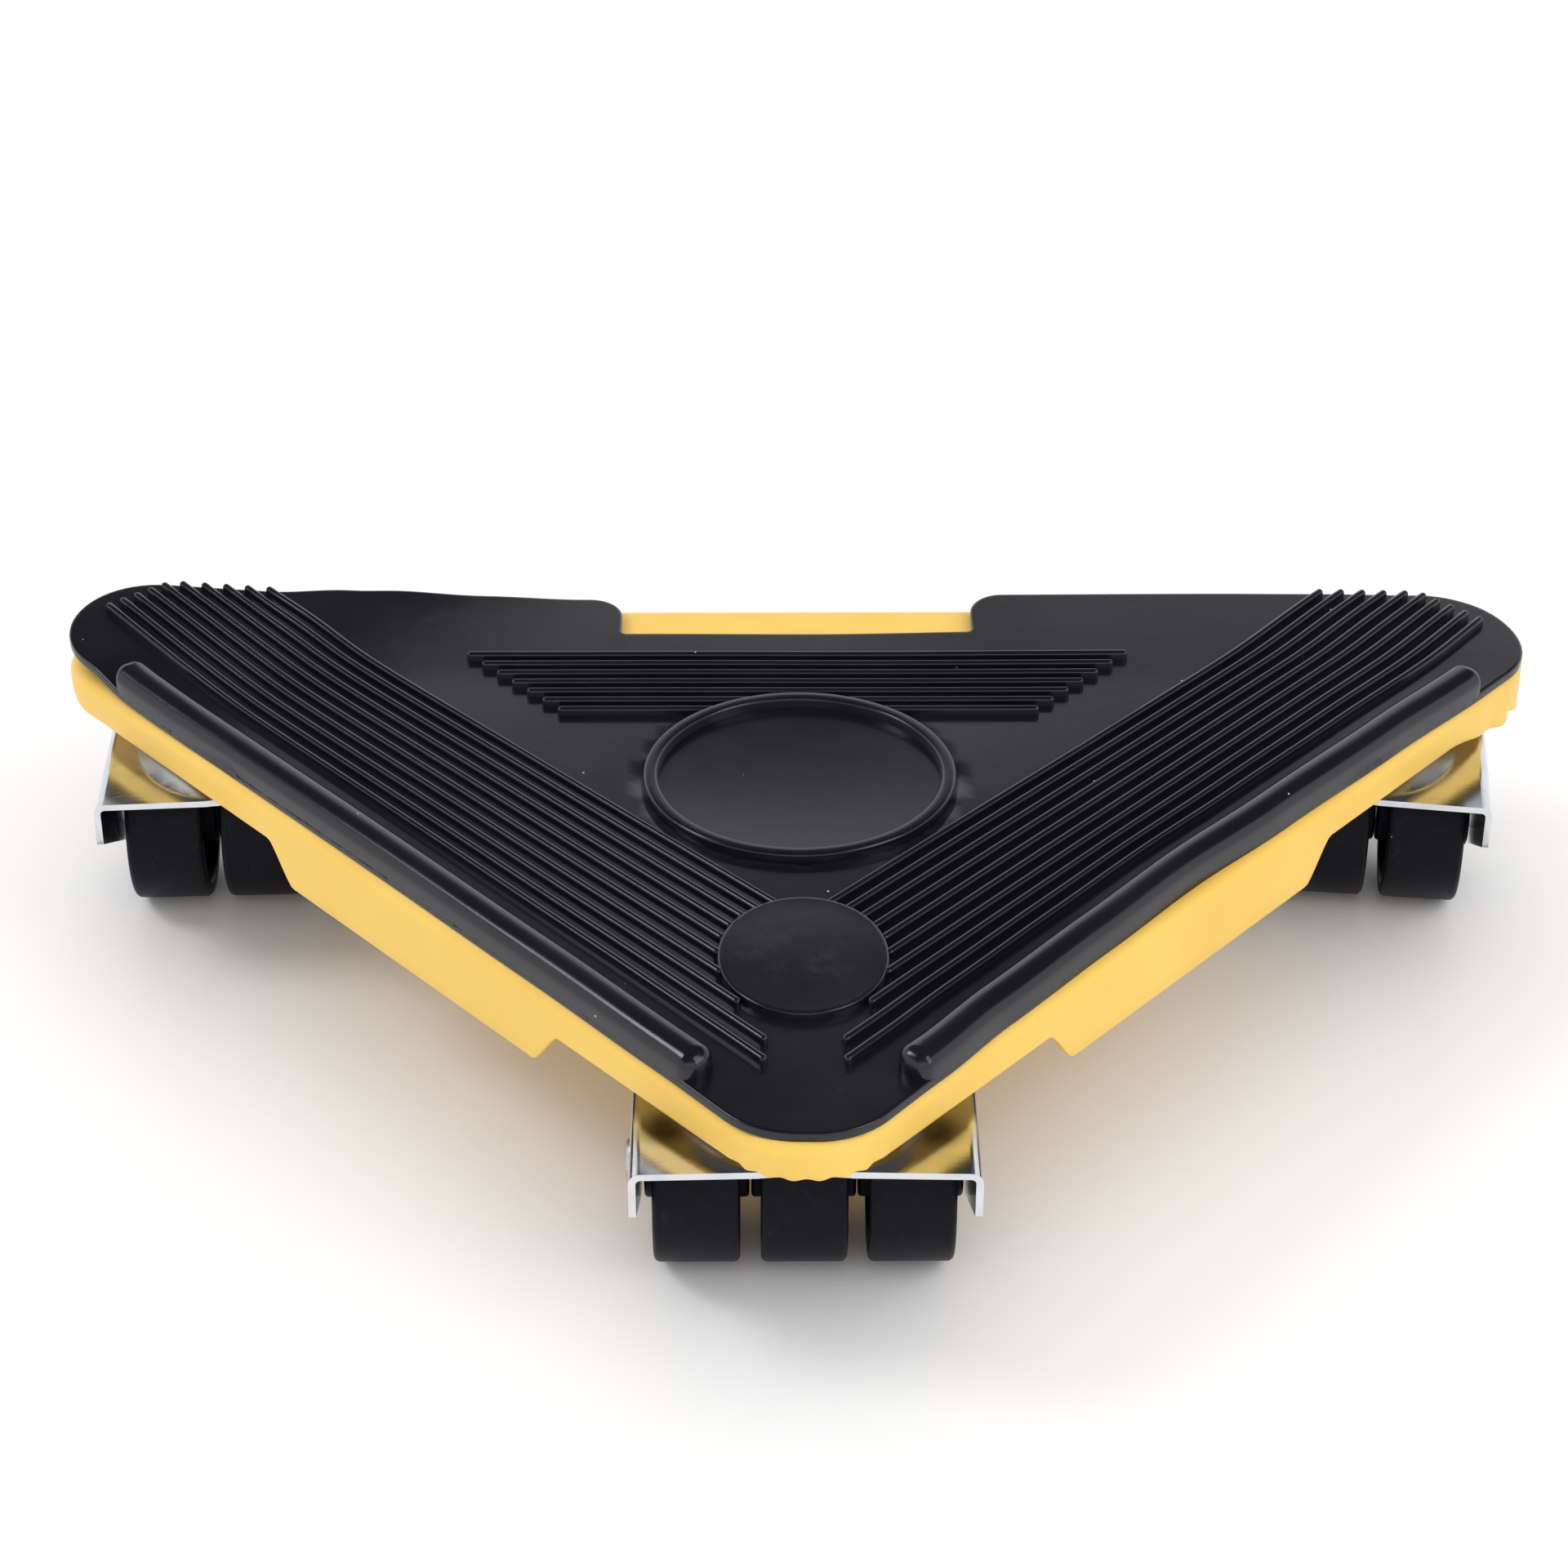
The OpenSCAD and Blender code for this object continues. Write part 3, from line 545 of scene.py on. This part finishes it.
def bright_steel(steel):
    """Plain turned steel with fine marks and a slight stain."""
    metal = Finish("bright_steel", Metallic=1.0)
    stain = metal.band(metal.noise(3 * MM, 4, 0.65), 0.45, 0.75)
    marks = metal.noise(0.25 * MM, 2, 0.6)
    metal.set(Base_Color=metal.blend(stain * 0.6, steel, STAINED_STEEL),
              Roughness=0.24 + 0.16 * stain + 0.08 * marks, Normal=metal.bump(marks, 0.012 * MM, 0.5))
    return metal.material


def wheel_nylon(nylon):
    """Black nylon with a satin tread, scuffs round it and a few pale specks."""
    plastic = Finish("wheel_nylon_black", Specular_IOR_Level=0.12)
    scuff = plastic.band(plastic.noise(4 * MM, 5, 0.7, plastic.at(stretch=(2.5, 1, 1))), 0.55, 0.8)
    grain = plastic.noise(0.3 * MM, 2, 0.6)
    specks = plastic.specks(4 * MM, 0.25 * MM, 0.08)
    shade = plastic.blend(0.05 * scuff, nylon, NYLON_SCUFF)
    plastic.set(Base_Color=plastic.blend(specks, shade, NYLON_SPECK),
                Roughness=0.4 + 0.12 * scuff + 0.06 * grain, Normal=plastic.bump(grain + scuff, 0.02 * MM, 0.6))
    return plastic.material


class DOLLY_OT_deck(Operator):
    """Makes the pressed yellow deck with its rim, skirts and corner wrinkles"""
    bl_idname = "dolly.deck"
    bl_label = "Deck"

    ROWS = 5  # rows of points down the rim
    WRINKLES = {"front": (0.65, 5), "right": (2, 4), "left": (0.3, 3)}  # depth and number at each corner
    SPILL = 0.35  # how far the wrinkles pass a corner, as a share of it
    SAG_SHARE = 0.6  # how much of the droop there is where the right side meets the right rear corner
    SAG_RUN = 25 * MM  # length of the right side over which the rim sinks to that

    def execute(self, context):
        size = context.scene.dolly_deck
        plan = Plan(size)
        bm = outline(plan.corners(plan.front, size.front_radius, size.rear_radius), 1.2 * MM, radians(3))
        rim = bm.edges[:]
        shallow = size.bend * 1.5
        rows = []
        for k in range(self.ROWS):
            grown = bmesh.ops.extrude_edge_only(bm, edges=rim)["geom"]
            rim = [g for g in grown if isinstance(g, bmesh.types.BMEdge)
                   and all(v in grown for v in g.verts)]
            lower = [g for g in grown if isinstance(g, bmesh.types.BMVert)]
            for v in lower:
                reach = k / (self.ROWS - 1)
                v.co.z = -(shallow + (self.foot(v.co, size, plan) - shallow) * reach)
                rows.append((v, reach))
        for v, reach in rows:
            self.press(v, reach, size, plan)
        bmesh.ops.recalc_face_normals(bm, faces=bm.faces)
        if max(bm.faces, key=lambda f: f.calc_area()).normal.z < 0:
            bmesh.ops.reverse_faces(bm, faces=bm.faces)
        round_top(bm, 0, size.bend, 6, 0.8 * MM)
        bmesh.ops.translate(bm, vec=(0, 0, size.top), verts=bm.verts)
        paint = powder_coat(context.scene.dolly_finish.paint)
        made = piece("deck_shell", bm, "deck", paint, ["deck"])
        wall = made.modifiers.new("sheet", "SOLIDIFY")
        wall.thickness, wall.offset, wall.use_even_offset = size.sheet, -1, True
        edge = made.modifiers.new("edge", "BEVEL")
        edge.width, edge.segments = 0.3 * MM, 2
        edge.limit_method, edge.angle_limit = "ANGLE", radians(50)
        return {"FINISHED"}

    def foot(self, at, size, plan):
        """Depth of the rim's lower edge below the top, at a place on the outline."""
        along, inside = plan.on_side(at.x, at.y)
        if at.y > plan.rear.y + size.rear_radius * 0.999:
            gap, start, end = plan.rear.x - abs(at.x), size.skirt_back, plan.rear.x * 2
        elif inside < 0.05 * MM and 0 <= along <= plan.side:
            gap, start, end = along, size.skirt_front, plan.side - size.skirt_rear
            sag = self.SAG_SHARE * size.droop * ease((along - plan.side) / self.SAG_RUN + 1)
            if at.x > 0 and sag:
                return size.rim + sag
        else:
            corner, share = self.corner_at(at, plan)
            if corner == "right":
                swell = self.SAG_SHARE + (1 - self.SAG_SHARE) * ease(2 * share)
                return size.rim + size.droop * swell * (1 - ease(2 * share - 1))
            return size.rim - size.lift * sin(pi * share)
        slope = min(gap - start, end - gap) / size.slope
        return size.rim + (size.skirt - size.rim) * (0.35 * ease(slope) + 0.65 * min(max(slope, 0), 1))

    def corner_at(self, at, plan):
        """(corner, share): which corner a place on the outline is at, and how far round it."""
        if at.y < 0:
            turn = atan2(at.y - plan.front, at.x) % (2 * pi)
            return "front", (turn - pi - plan.lean) / (pi - 2 * plan.lean)
        turn = atan2(at.y - plan.rear.y, abs(at.x) - plan.rear.x)
        return ("right" if at.x > 0 else "left"), (turn + plan.lean) / (pi / 2 + plan.lean)

    def press(self, v, reach, size, plan):
        """Draws the rim in and out where the sheet has gathered in wrinkles round a corner."""
        at = v.co
        centres = {"front": (0, plan.front), "right": tuple(plan.rear), "left": (-plan.rear.x, plan.rear.y)}
        corner, share = self.corner_at(at, plan)
        depth, waves = self.WRINKLES[corner]
        before, after = share + self.SPILL, 1 + self.SPILL - share
        if before <= 0 or after <= 0 or corner != "front" and abs(at.y - plan.rear.y) > 60 * MM:
            return
        fade = ease(before / 0.4) * ease(after / 0.4)
        wave = (1 - cos(2 * pi * waves * share)) / 2
        x, y = centres[corner]
        out = Vector((at.x - x, at.y - y, 0)).normalized()
        fold = size.wrinkle * depth * wave * fade
        v.co -= out * (fold * reach ** 1.3)
        v.co.z += 0.25 * fold * reach


class DOLLY_OT_mat(Operator):
    """Makes the ribbed rubber mat with its ring, pad, bars, notch and lifted back edge"""
    bl_idname = "dolly.mat"
    bl_label = "Mat"

    SLICE = 3 * MM  # distance between the cuts that let the mat bend
    BAR_START = 17.4 * MM  # where the bars begin along their sides
    BAR_STOPS = ((-1, 11.5 * MM), (1, 11 * MM))  # side, and how far before its end the bar stops
    BAR_END = 3.5 * MM  # rounding of the bars' ends
    LONG_RIBS = 2  # side ribs that pass the pad
    LONG_START = 7.5 * MM  # distance of their front ends from the middle line
    # The numbers below are in millimetres.
    EDGE_LIFT = ((-128, 0), (-108, 1.8), (-95, 2.5), (-75, 1.9), (-51, 1.0), (0, 0.8), (52, 2.4), (103, 2.5),
                 (128, 2.4), (150, 2.0), (165, 1.6), (173, 1.3))  # x, and how much the back edge lifts there
    CREEP = {  # share of the slanting side, and how far inwards the mat was glued there
        "left": ((0, -1.2), (0.12, -0.6), (0.3, 0.0), (0.5, 0.3), (0.75, 0.3), (0.95, -0.6)),
        "right": ((0, -1.4), (0.1, -0.8), (0.2, 0.6), (0.35, 1.4), (0.48, 2.2), (0.62, 1.0), (0.8, 0.0),
                  (0.95, -1.2)),
    }
    HIGHEST = 66.4  # height that no point of the mat passes

    def execute(self, context):
        deck, size = context.scene.dolly_deck, context.scene.dolly_mat
        self.plan, self.deck, self.size = Plan(deck), deck, size
        self.face = deck.top + size.sheet
        self.base = Matrix.Translation((0, 0, self.face - ROOT))
        bm = self.sheet()
        gather(bm, self.ring())
        gather(bm, self.dish())
        gather(bm, self.pad())
        self.bars(bm)
        self.side_ribs(bm)
        self.back_ribs(bm)
        for v in bm.verts:
            v.co = self.settle(v.co)
        finish = context.scene.dolly_finish
        rubber = moulded_rubber(finish.rubber, finish.dust)
        piece("ribbed_mat", bm, "deck", rubber, ["rubber_mat"], 50)
        return {"FINISHED"}

    def sheet(self):
        """The mat's sheet with its notch, lowered where the dish lies."""
        size, plan, deck = self.size, self.plan, self.deck
        front = plan.front + (size.front_radius - deck.front_radius + size.inset) / sin(plan.lean)
        heel = deck.rear_radius - size.inset
        back = plan.rear.y + heel
        half, foot = size.notch_width / 2, back - size.notch_depth
        shoulder, small = size.notch_radius, 1.5 * MM
        corners = plan.corners(front, size.front_radius, heel)
        corners[2:2] = [
            ((half + shoulder, back - shoulder), shoulder, pi / 2, pi),
            ((half - small, foot + small), small, 0, -pi / 2),
            ((small - half, foot + small), small, -pi / 2, -pi),
            ((-half - shoulder, back - shoulder), shoulder, 0, pi / 2),
        ]
        bm = outline(corners)
        block(bm, size.sheet)
        round_top(bm, size.sheet, size.edge, 3, 0.4 * MM)
        for axis in (0, 1):
            cut_across(bm, axis, self.SLICE)
        bmesh.ops.translate(bm, vec=(0, 0, deck.top), verts=bm.verts)
        for v in bm.verts:
            if self.from_ring(v) < size.ring_radius - size.ring_width / 2:
                v.co.z = min(v.co.z, self.face - size.dish - 0.3 * MM)
        return bm

    def spun(self, edges, steps=144):
        """Turns edges once round the ring's centre, to a closed shape."""
        bmesh.ops.spin(edges, geom=edges.verts[:] + edges.edges[:] + edges.faces[:], axis=(0, 0, 1),
                       cent=(0, self.size.ring_place, 0), angle=2 * pi, steps=steps, use_merge=True)
        bmesh.ops.remove_doubles(edges, verts=edges.verts, dist=SAME)
        bmesh.ops.recalc_face_normals(edges, faces=edges.faces)
        return edges

    def from_ring(self, v):
        """Distance of a point from the ring's axis."""
        return hypot(v.co.x, v.co.y - self.size.ring_place)

    def ring(self):
        """The raised ring, with both of its upper edges rounded."""
        size = self.size
        bm = bmesh.new()
        low, high = self.face - ROOT, self.face + size.ring_height
        inner, outer = size.ring_radius - size.ring_width, size.ring_radius
        section = [bm.verts.new((r, size.ring_place, z))
                   for r, z in ((inner, low), (outer, low), (outer, high), (inner, high))]
        for a, b in zip(section, section[1:] + section[:1]):
            bm.edges.new((a, b))
        self.spun(bm)
        rims = [e for e in bm.edges if all(abs(v.co.z - high) < LEVEL for v in e.verts)
                and abs(self.from_ring(e.verts[0]) - self.from_ring(e.verts[1])) < 1e-5]
        round_edges(bm, rims, 0.8 * MM, 4)
        return bm

    def dish(self):
        """The shallow dish inside the ring."""
        size = self.size
        edge = size.ring_radius - size.ring_width / 2
        bm = bmesh.new()
        line = bm.edges.new([bm.verts.new((x, size.ring_place, self.face)) for x in (0, edge)])
        bmesh.ops.subdivide_edges(bm, edges=[line], cuts=15)
        for v in bm.verts:
            v.co.z -= size.dish * (1 - (v.co.x / edge) ** 2)
        self.spun(bm, 72)
        block(bm, -0.5 * MM)
        return bm

    def pad(self):
        """The slightly crowned oval pad near the front corner."""
        size = self.size
        radius = size.pad_width / 2
        bm = outline([((0, 0), radius, 0, pi), ((0, 0), radius, pi, 2 * pi)], turn=radians(4))
        bmesh.ops.remove_doubles(bm, verts=bm.verts, dist=SAME)
        bmesh.ops.scale(bm, vec=(1, size.pad_length / size.pad_width, 1), verts=bm.verts)
        bmesh.ops.translate(bm, vec=(0, -size.pad_place, 0), verts=bm.verts)
        height = size.pad_height + ROOT
        block(bm, height)
        round_top(bm, height, 0.6 * MM, 4, 0.5 * MM)
        for axis in (0, 1):
            cut_across(bm, axis, self.SLICE)
        for v in bm.verts:
            if v.co.z > size.pad_height:
                v.co.z += 0.25 * MM * (1 - min(hypot(v.co.x, v.co.y + size.pad_place) / radius, 1) ** 2)
        bmesh.ops.translate(bm, vec=(0, 0, self.face - ROOT), verts=bm.verts)
        return bm

    def bars(self, bm):
        """The round-topped bar along each slanting side."""
        size = self.size
        for sign, stop in self.BAR_STOPS:
            end = self.plan.side - stop
            bar = rounded_bar((size.bar_width, end - self.BAR_START, size.bar_height + ROOT),
                              self.BAR_END, size.bar_radius, 6, self.SLICE)
            gather(bm, bar, self.base @ self.plan.beside(sign, self.BAR_START, size.inset + size.bar_width / 2))

    def rib(self, bm, run, place, lean=0.0):
        """A rib along +Y that may lean sideways along its run."""
        size = self.size
        shape = rounded_bar((size.rib_width, run, size.rib_height + ROOT), size.rib_width * 0.48, 0.8 * MM, 3)
        for v in shape.verts:
            v.co.x += lean * v.co.y
        gather(bm, shape, self.base @ place)

    def side_ribs(self, bm):
        """Ribs along both sides: the outer ones pass the pad, the inner ones run up to it."""
        size, plan = self.size, self.plan
        wide, tall = size.pad_width / 2, size.pad_length / 2
        back = self.deck.depth / 2 - size.inset - 1 * MM  # where the ribs end, just before the mat's edge
        c, s = cos(plan.lean), sin(plan.lean)
        for k in range(size.rib_count):
            inside = size.rib_inset + k * size.rib_pitch
            level = self.deck.front_radius - inside
            if k < self.LONG_RIBS:
                start = (self.LONG_START - level * c) / s
            else:
                # where the rib's line leaves the pad's ellipse, or passes it nearest
                away = plan.front + size.pad_place - level * s
                square = s * s / wide ** 2 + c * c / tall ** 2
                middle = -(level * c * s / wide ** 2 + away * c / tall ** 2) / square
                rest = middle ** 2 - ((level * c / wide) ** 2 + (away / tall) ** 2 - 1) / square
                start = middle + (sqrt(rest) - 1 * MM if rest > 0 else 0)
            outward = k * size.rib_squeeze
            end = min(plan.side + 14 * MM, (back - plan.front + (level + outward) * s) / c)
            for sign in (-1, 1):
                place = plan.beside(sign, start, inside - outward * start / end)
                self.rib(bm, end - start, place, sign * outward / end)

    def back_ribs(self, bm):
        """Ribs across the back, each shorter than the one behind it, cut where the ring stands."""
        size = self.size
        for k in range(size.back_count):
            y = self.deck.depth / 2 - size.back_inset - k * size.back_pitch
            half = (size.back_length - k * size.back_step) / 2
            gap = (size.ring_radius - 1 * MM) ** 2 - (y - size.ring_place) ** 2
            inner = sqrt(gap) if gap > 0 else 0
            turn = Matrix.Rotation(-pi / 2, 4, "Z")
            if inner:
                self.rib(bm, half - inner, Matrix.Translation((-half, y, 0)) @ turn)
                self.rib(bm, half - inner, Matrix.Translation((inner, y, 0)) @ turn)
            else:
                self.rib(bm, 2 * half, Matrix.Translation((-half, y, 0)) @ turn)

    def settle(self, at):
        """Where a point of the flat mat comes to lie: lifted at the back, and glued on a little unevenly."""
        x, y = at.x / MM, at.y / MM
        along, inside = self.plan.on_side(at.x, at.y)

        # The left rear corner bends up behind a line across it, and less where the bar stiffens it.
        behind = (y - 80) * 0.684 - (x + 151) * 0.73 + 32
        corner = 0.0518 * ramp(behind, 12)
        corner *= 1 - 0.5 * ease((15 - inside / MM) / 8) * ease((232 - along / MM) / 14)

        # The back edge lifts and stands out a little, and the whole mat wavers.
        edge = profile(x, self.EDGE_LIFT)
        back = 0.0045 * edge * ramp(y - 72, 6)
        stretch = 1.2 * edge * ease((y - 76) / 32)
        wander = 0.09 * sin(x / 19) * sin(y / 23 + 1) * ease((y + 90) / 40)
        rise = corner + back + wander

        # Along the slanting sides it creeps inwards or outwards.
        shift = profile(along / self.plan.side, self.CREEP["left" if x < 0 else "right"])
        shift *= ease(1 - inside / (34 * MM)) * ease((108 - y) / 30)
        sign = -1 if x < 0 else 1
        inward = Vector((-sign * cos(self.plan.lean), sin(self.plan.lean), 0))

        laid = at + inward * shift * MM + Vector((0, stretch * MM, rise * MM * self.size.curl))
        laid.z = min(laid.z, self.HIGHEST * MM)
        return laid


class DOLLY_OT_brackets(Operator):
    """Finishes the zinc-plated brackets, swivel cups and washers"""
    bl_idname = "dolly.brackets"
    bl_label = "Brackets"

    def execute(self, context):
        zinc = context.scene.dolly_finish.zinc
        joints = {joint["name"]: joint for joint in frame["joints"]}
        for name in CASTERS:
            centre = joints[name + "_swivel"]["pos_m"]
            axle = joints[name + "_wheel_m_spin"]["axis"]
            turn = atan2(axle[1], axle[0])
            plate = zinc_plate(name, zinc, centre, turn, FRONT_SPOTS if name == "front" else ())
            dress(plate, name + "_swivel_cup", name + "_kingpin_washer")
            self.channel(context.scene.dolly_bracket, name, plate, centre, turn)
        return {"FINISHED"}

    def channel(self, size, name, material, centre, turn):
        """The folded bracket, with its front edge and the front of its cheeks drawn out."""
        bm = bmesh.new()
        node = frame["nodes"][name + "_bracket"]
        bm.from_mesh(node.data)
        bmesh.ops.transform(bm, matrix=node.matrix_world, verts=bm.verts)
        bmesh.ops.remove_doubles(bm, verts=bm.verts, dist=SAME)
        there = Matrix.Translation((centre[0], centre[1], 0)) @ Matrix.Rotation(turn, 4, "Z")
        back = there.inverted()
        nose = max(abs((back @ v.co).y) for v in bm.verts if v.co.z > size.top - size.bend)
        front = -1 if (back.to_3x3() @ Vector((0, -1, 0))).y < 0 else 1
        for v in bm.verts:
            at = back @ v.co
            ahead = at.y * front
            near = min(max((ahead - size.still) / (nose - size.still), 0), 1)
            low = min(max((size.top - size.bend - at.z) / (size.cheek - size.bend), 0), 1)
            bow = size.bow * ease(near) * (1 - min(abs(at.x) / size.half, 1) ** 2)
            at.y += front * size.reach * ease(near)
            at.z += bow * (1 - low) - size.drop * near * low
            v.co = there @ at
        piece(name + "_channel", bm, name + "_caster", material, [name + "_bracket"], 30)


class DOLLY_OT_pins(Operator):
    """Finishes the kingpins, bearing balls and axles"""
    bl_idname = "dolly.pins"
    bl_label = "Pins and Axles"

    def execute(self, context):
        steel = bright_steel(context.scene.dolly_finish.steel)
        for name in CASTERS:
            dress(steel, name + "_kingpin", name + "_bearing_balls", name + "_axle")
        return {"FINISHED"}


class DOLLY_OT_wheels(Operator):
    """Finishes the nine nylon wheels"""
    bl_idname = "dolly.wheels"
    bl_label = "Wheels"

    def execute(self, context):
        nylon = wheel_nylon(context.scene.dolly_finish.nylon)
        dress(nylon, *(f"{name}_wheel_{place}" for name in CASTERS for place in PLACES))
        return {"FINISHED"}


class DOLLY_OT_stage(Operator):
    """Sets up the camera, the lamps, the world and the pale floor"""
    bl_idname = "dolly.stage"
    bl_label = "Stage"

    def execute(self, context):
        scene, size = context.scene, context.scene.dolly_stage
        scene.view_settings.view_transform = "Standard"
        camera = bpy.data.objects.new("camera", bpy.data.cameras.new("camera"))
        camera.data.sensor_width, camera.data.lens = 36, size.lens / MM
        camera.data.clip_start, camera.data.clip_end = 0.01, 20
        view = Matrix.Translation(CAMERA_PLACE)
        for degrees, axis in CAMERA_TURNS:
            view = view @ Matrix.Rotation(radians(degrees), 4, axis)
        camera.matrix_world = view
        scene.collection.objects.link(camera)
        scene.camera = camera
        for name, place, spread, power in LAMPS:
            self.lamp(name, place, spread, power * size.key)
        self.world(scene, size)
        self.floor(size)
        return {"FINISHED"}

    def lamp(self, name, place, size, power):
        """A flat rectangular lamp that faces the dolly."""
        light = bpy.data.lights.new(name, "AREA")
        light.shape, (light.size, light.size_y), light.energy = "RECTANGLE", size, power
        made = bpy.data.objects.new(name, light)
        made.location = place
        made.rotation_euler = (LAMP_TARGET - Vector(place)).to_track_quat("-Z", "Y").to_euler()
        bpy.context.scene.collection.objects.link(made)

    def world(self, scene, size):
        """White to the camera, even light on the dolly, and a dark ceiling in what it mirrors."""
        world = bpy.data.worlds.new("studio")
        scene.world = world
        sky = Finish.of_world(world)
        white = sky.light_path("Camera", "Transmission")
        gloss = sky.light_path("Glossy")
        ceiling = 1 - 0.94 * sky.band(sky.rise(), 0.46, 0.545)
        level = gloss * ceiling + (1 - gloss) * (0.92 * size.fill)
        sky.set(Color=(1, 1, 1), Strength=white + (1 - white) * level)

    def floor(self, size):
        """A pale floor that takes the shadows near the dolly and is plain white further off."""
        board = Finish("pale_floor", Specular_IOR_Level=0.25, Roughness=0.32, Base_Color=size.floor)
        away = board.span(board.at((0.02, -0.03, 0)))
        seen = board.light_path("Camera", "Transmission", "Glossy")
        white = board.node("ShaderNodeEmission", {}, {"Color": (1, 1, 1), "Strength": 1.0})
        surface = board.node("ShaderNodeMixShader", {},
                             [board.band(away, 0.3, 0.5) * seen, Wire(board, board.shader.outputs[0]), white])
        out = next(n for n in board.tree.nodes if n.type == "OUTPUT_MATERIAL")
        board.feed(out.inputs["Surface"], surface)
        bm = bmesh.new()
        bmesh.ops.create_grid(bm, x_segments=1, y_segments=1, size=4)
        made = place_object("floor", bm, board.material)


class DOLLY_PT_panel(Panel):
    """Lists the dolly's pieces"""
    bl_idname = "DOLLY_PT_panel"
    bl_label = "Furniture Dolly"
    bl_space_type = "VIEW_3D"
    bl_region_type = "UI"
    bl_category = "Dolly"

    def draw(self, context):
        for step in STEPS:
            self.layout.operator(step.bl_idname)
        for name in GROUPS:
            group = getattr(context.scene, name)
            box = self.layout.box()
            for key in group.__annotations__:
                box.prop(group, key)


STEPS = (DOLLY_OT_stage, DOLLY_OT_deck, DOLLY_OT_mat, DOLLY_OT_brackets, DOLLY_OT_pins, DOLLY_OT_wheels)
GROUPS = {
    "dolly_deck": DollyDeck,
    "dolly_mat": DollyMat,
    "dolly_bracket": DollyBracket,
    "dolly_finish": DollyFinish,
    "dolly_stage": DollyStage,
}


def register():
    for kind in (*GROUPS.values(), *STEPS, DOLLY_PT_panel):
        bpy.utils.register_class(kind)
    for name, kind in GROUPS.items():
        setattr(bpy.types.Scene, name, PointerProperty(type=kind))


def unregister():
    for name in GROUPS:
        delattr(bpy.types.Scene, name)
    for kind in (DOLLY_PT_panel, *reversed(STEPS), *reversed(list(GROUPS.values()))):
        bpy.utils.unregister_class(kind)


def main():
    register()
    for step in STEPS:
        name = step.bl_idname.split(".")[1]
        getattr(bpy.ops.dolly, name)()


if __name__ == "__main__":
    main()
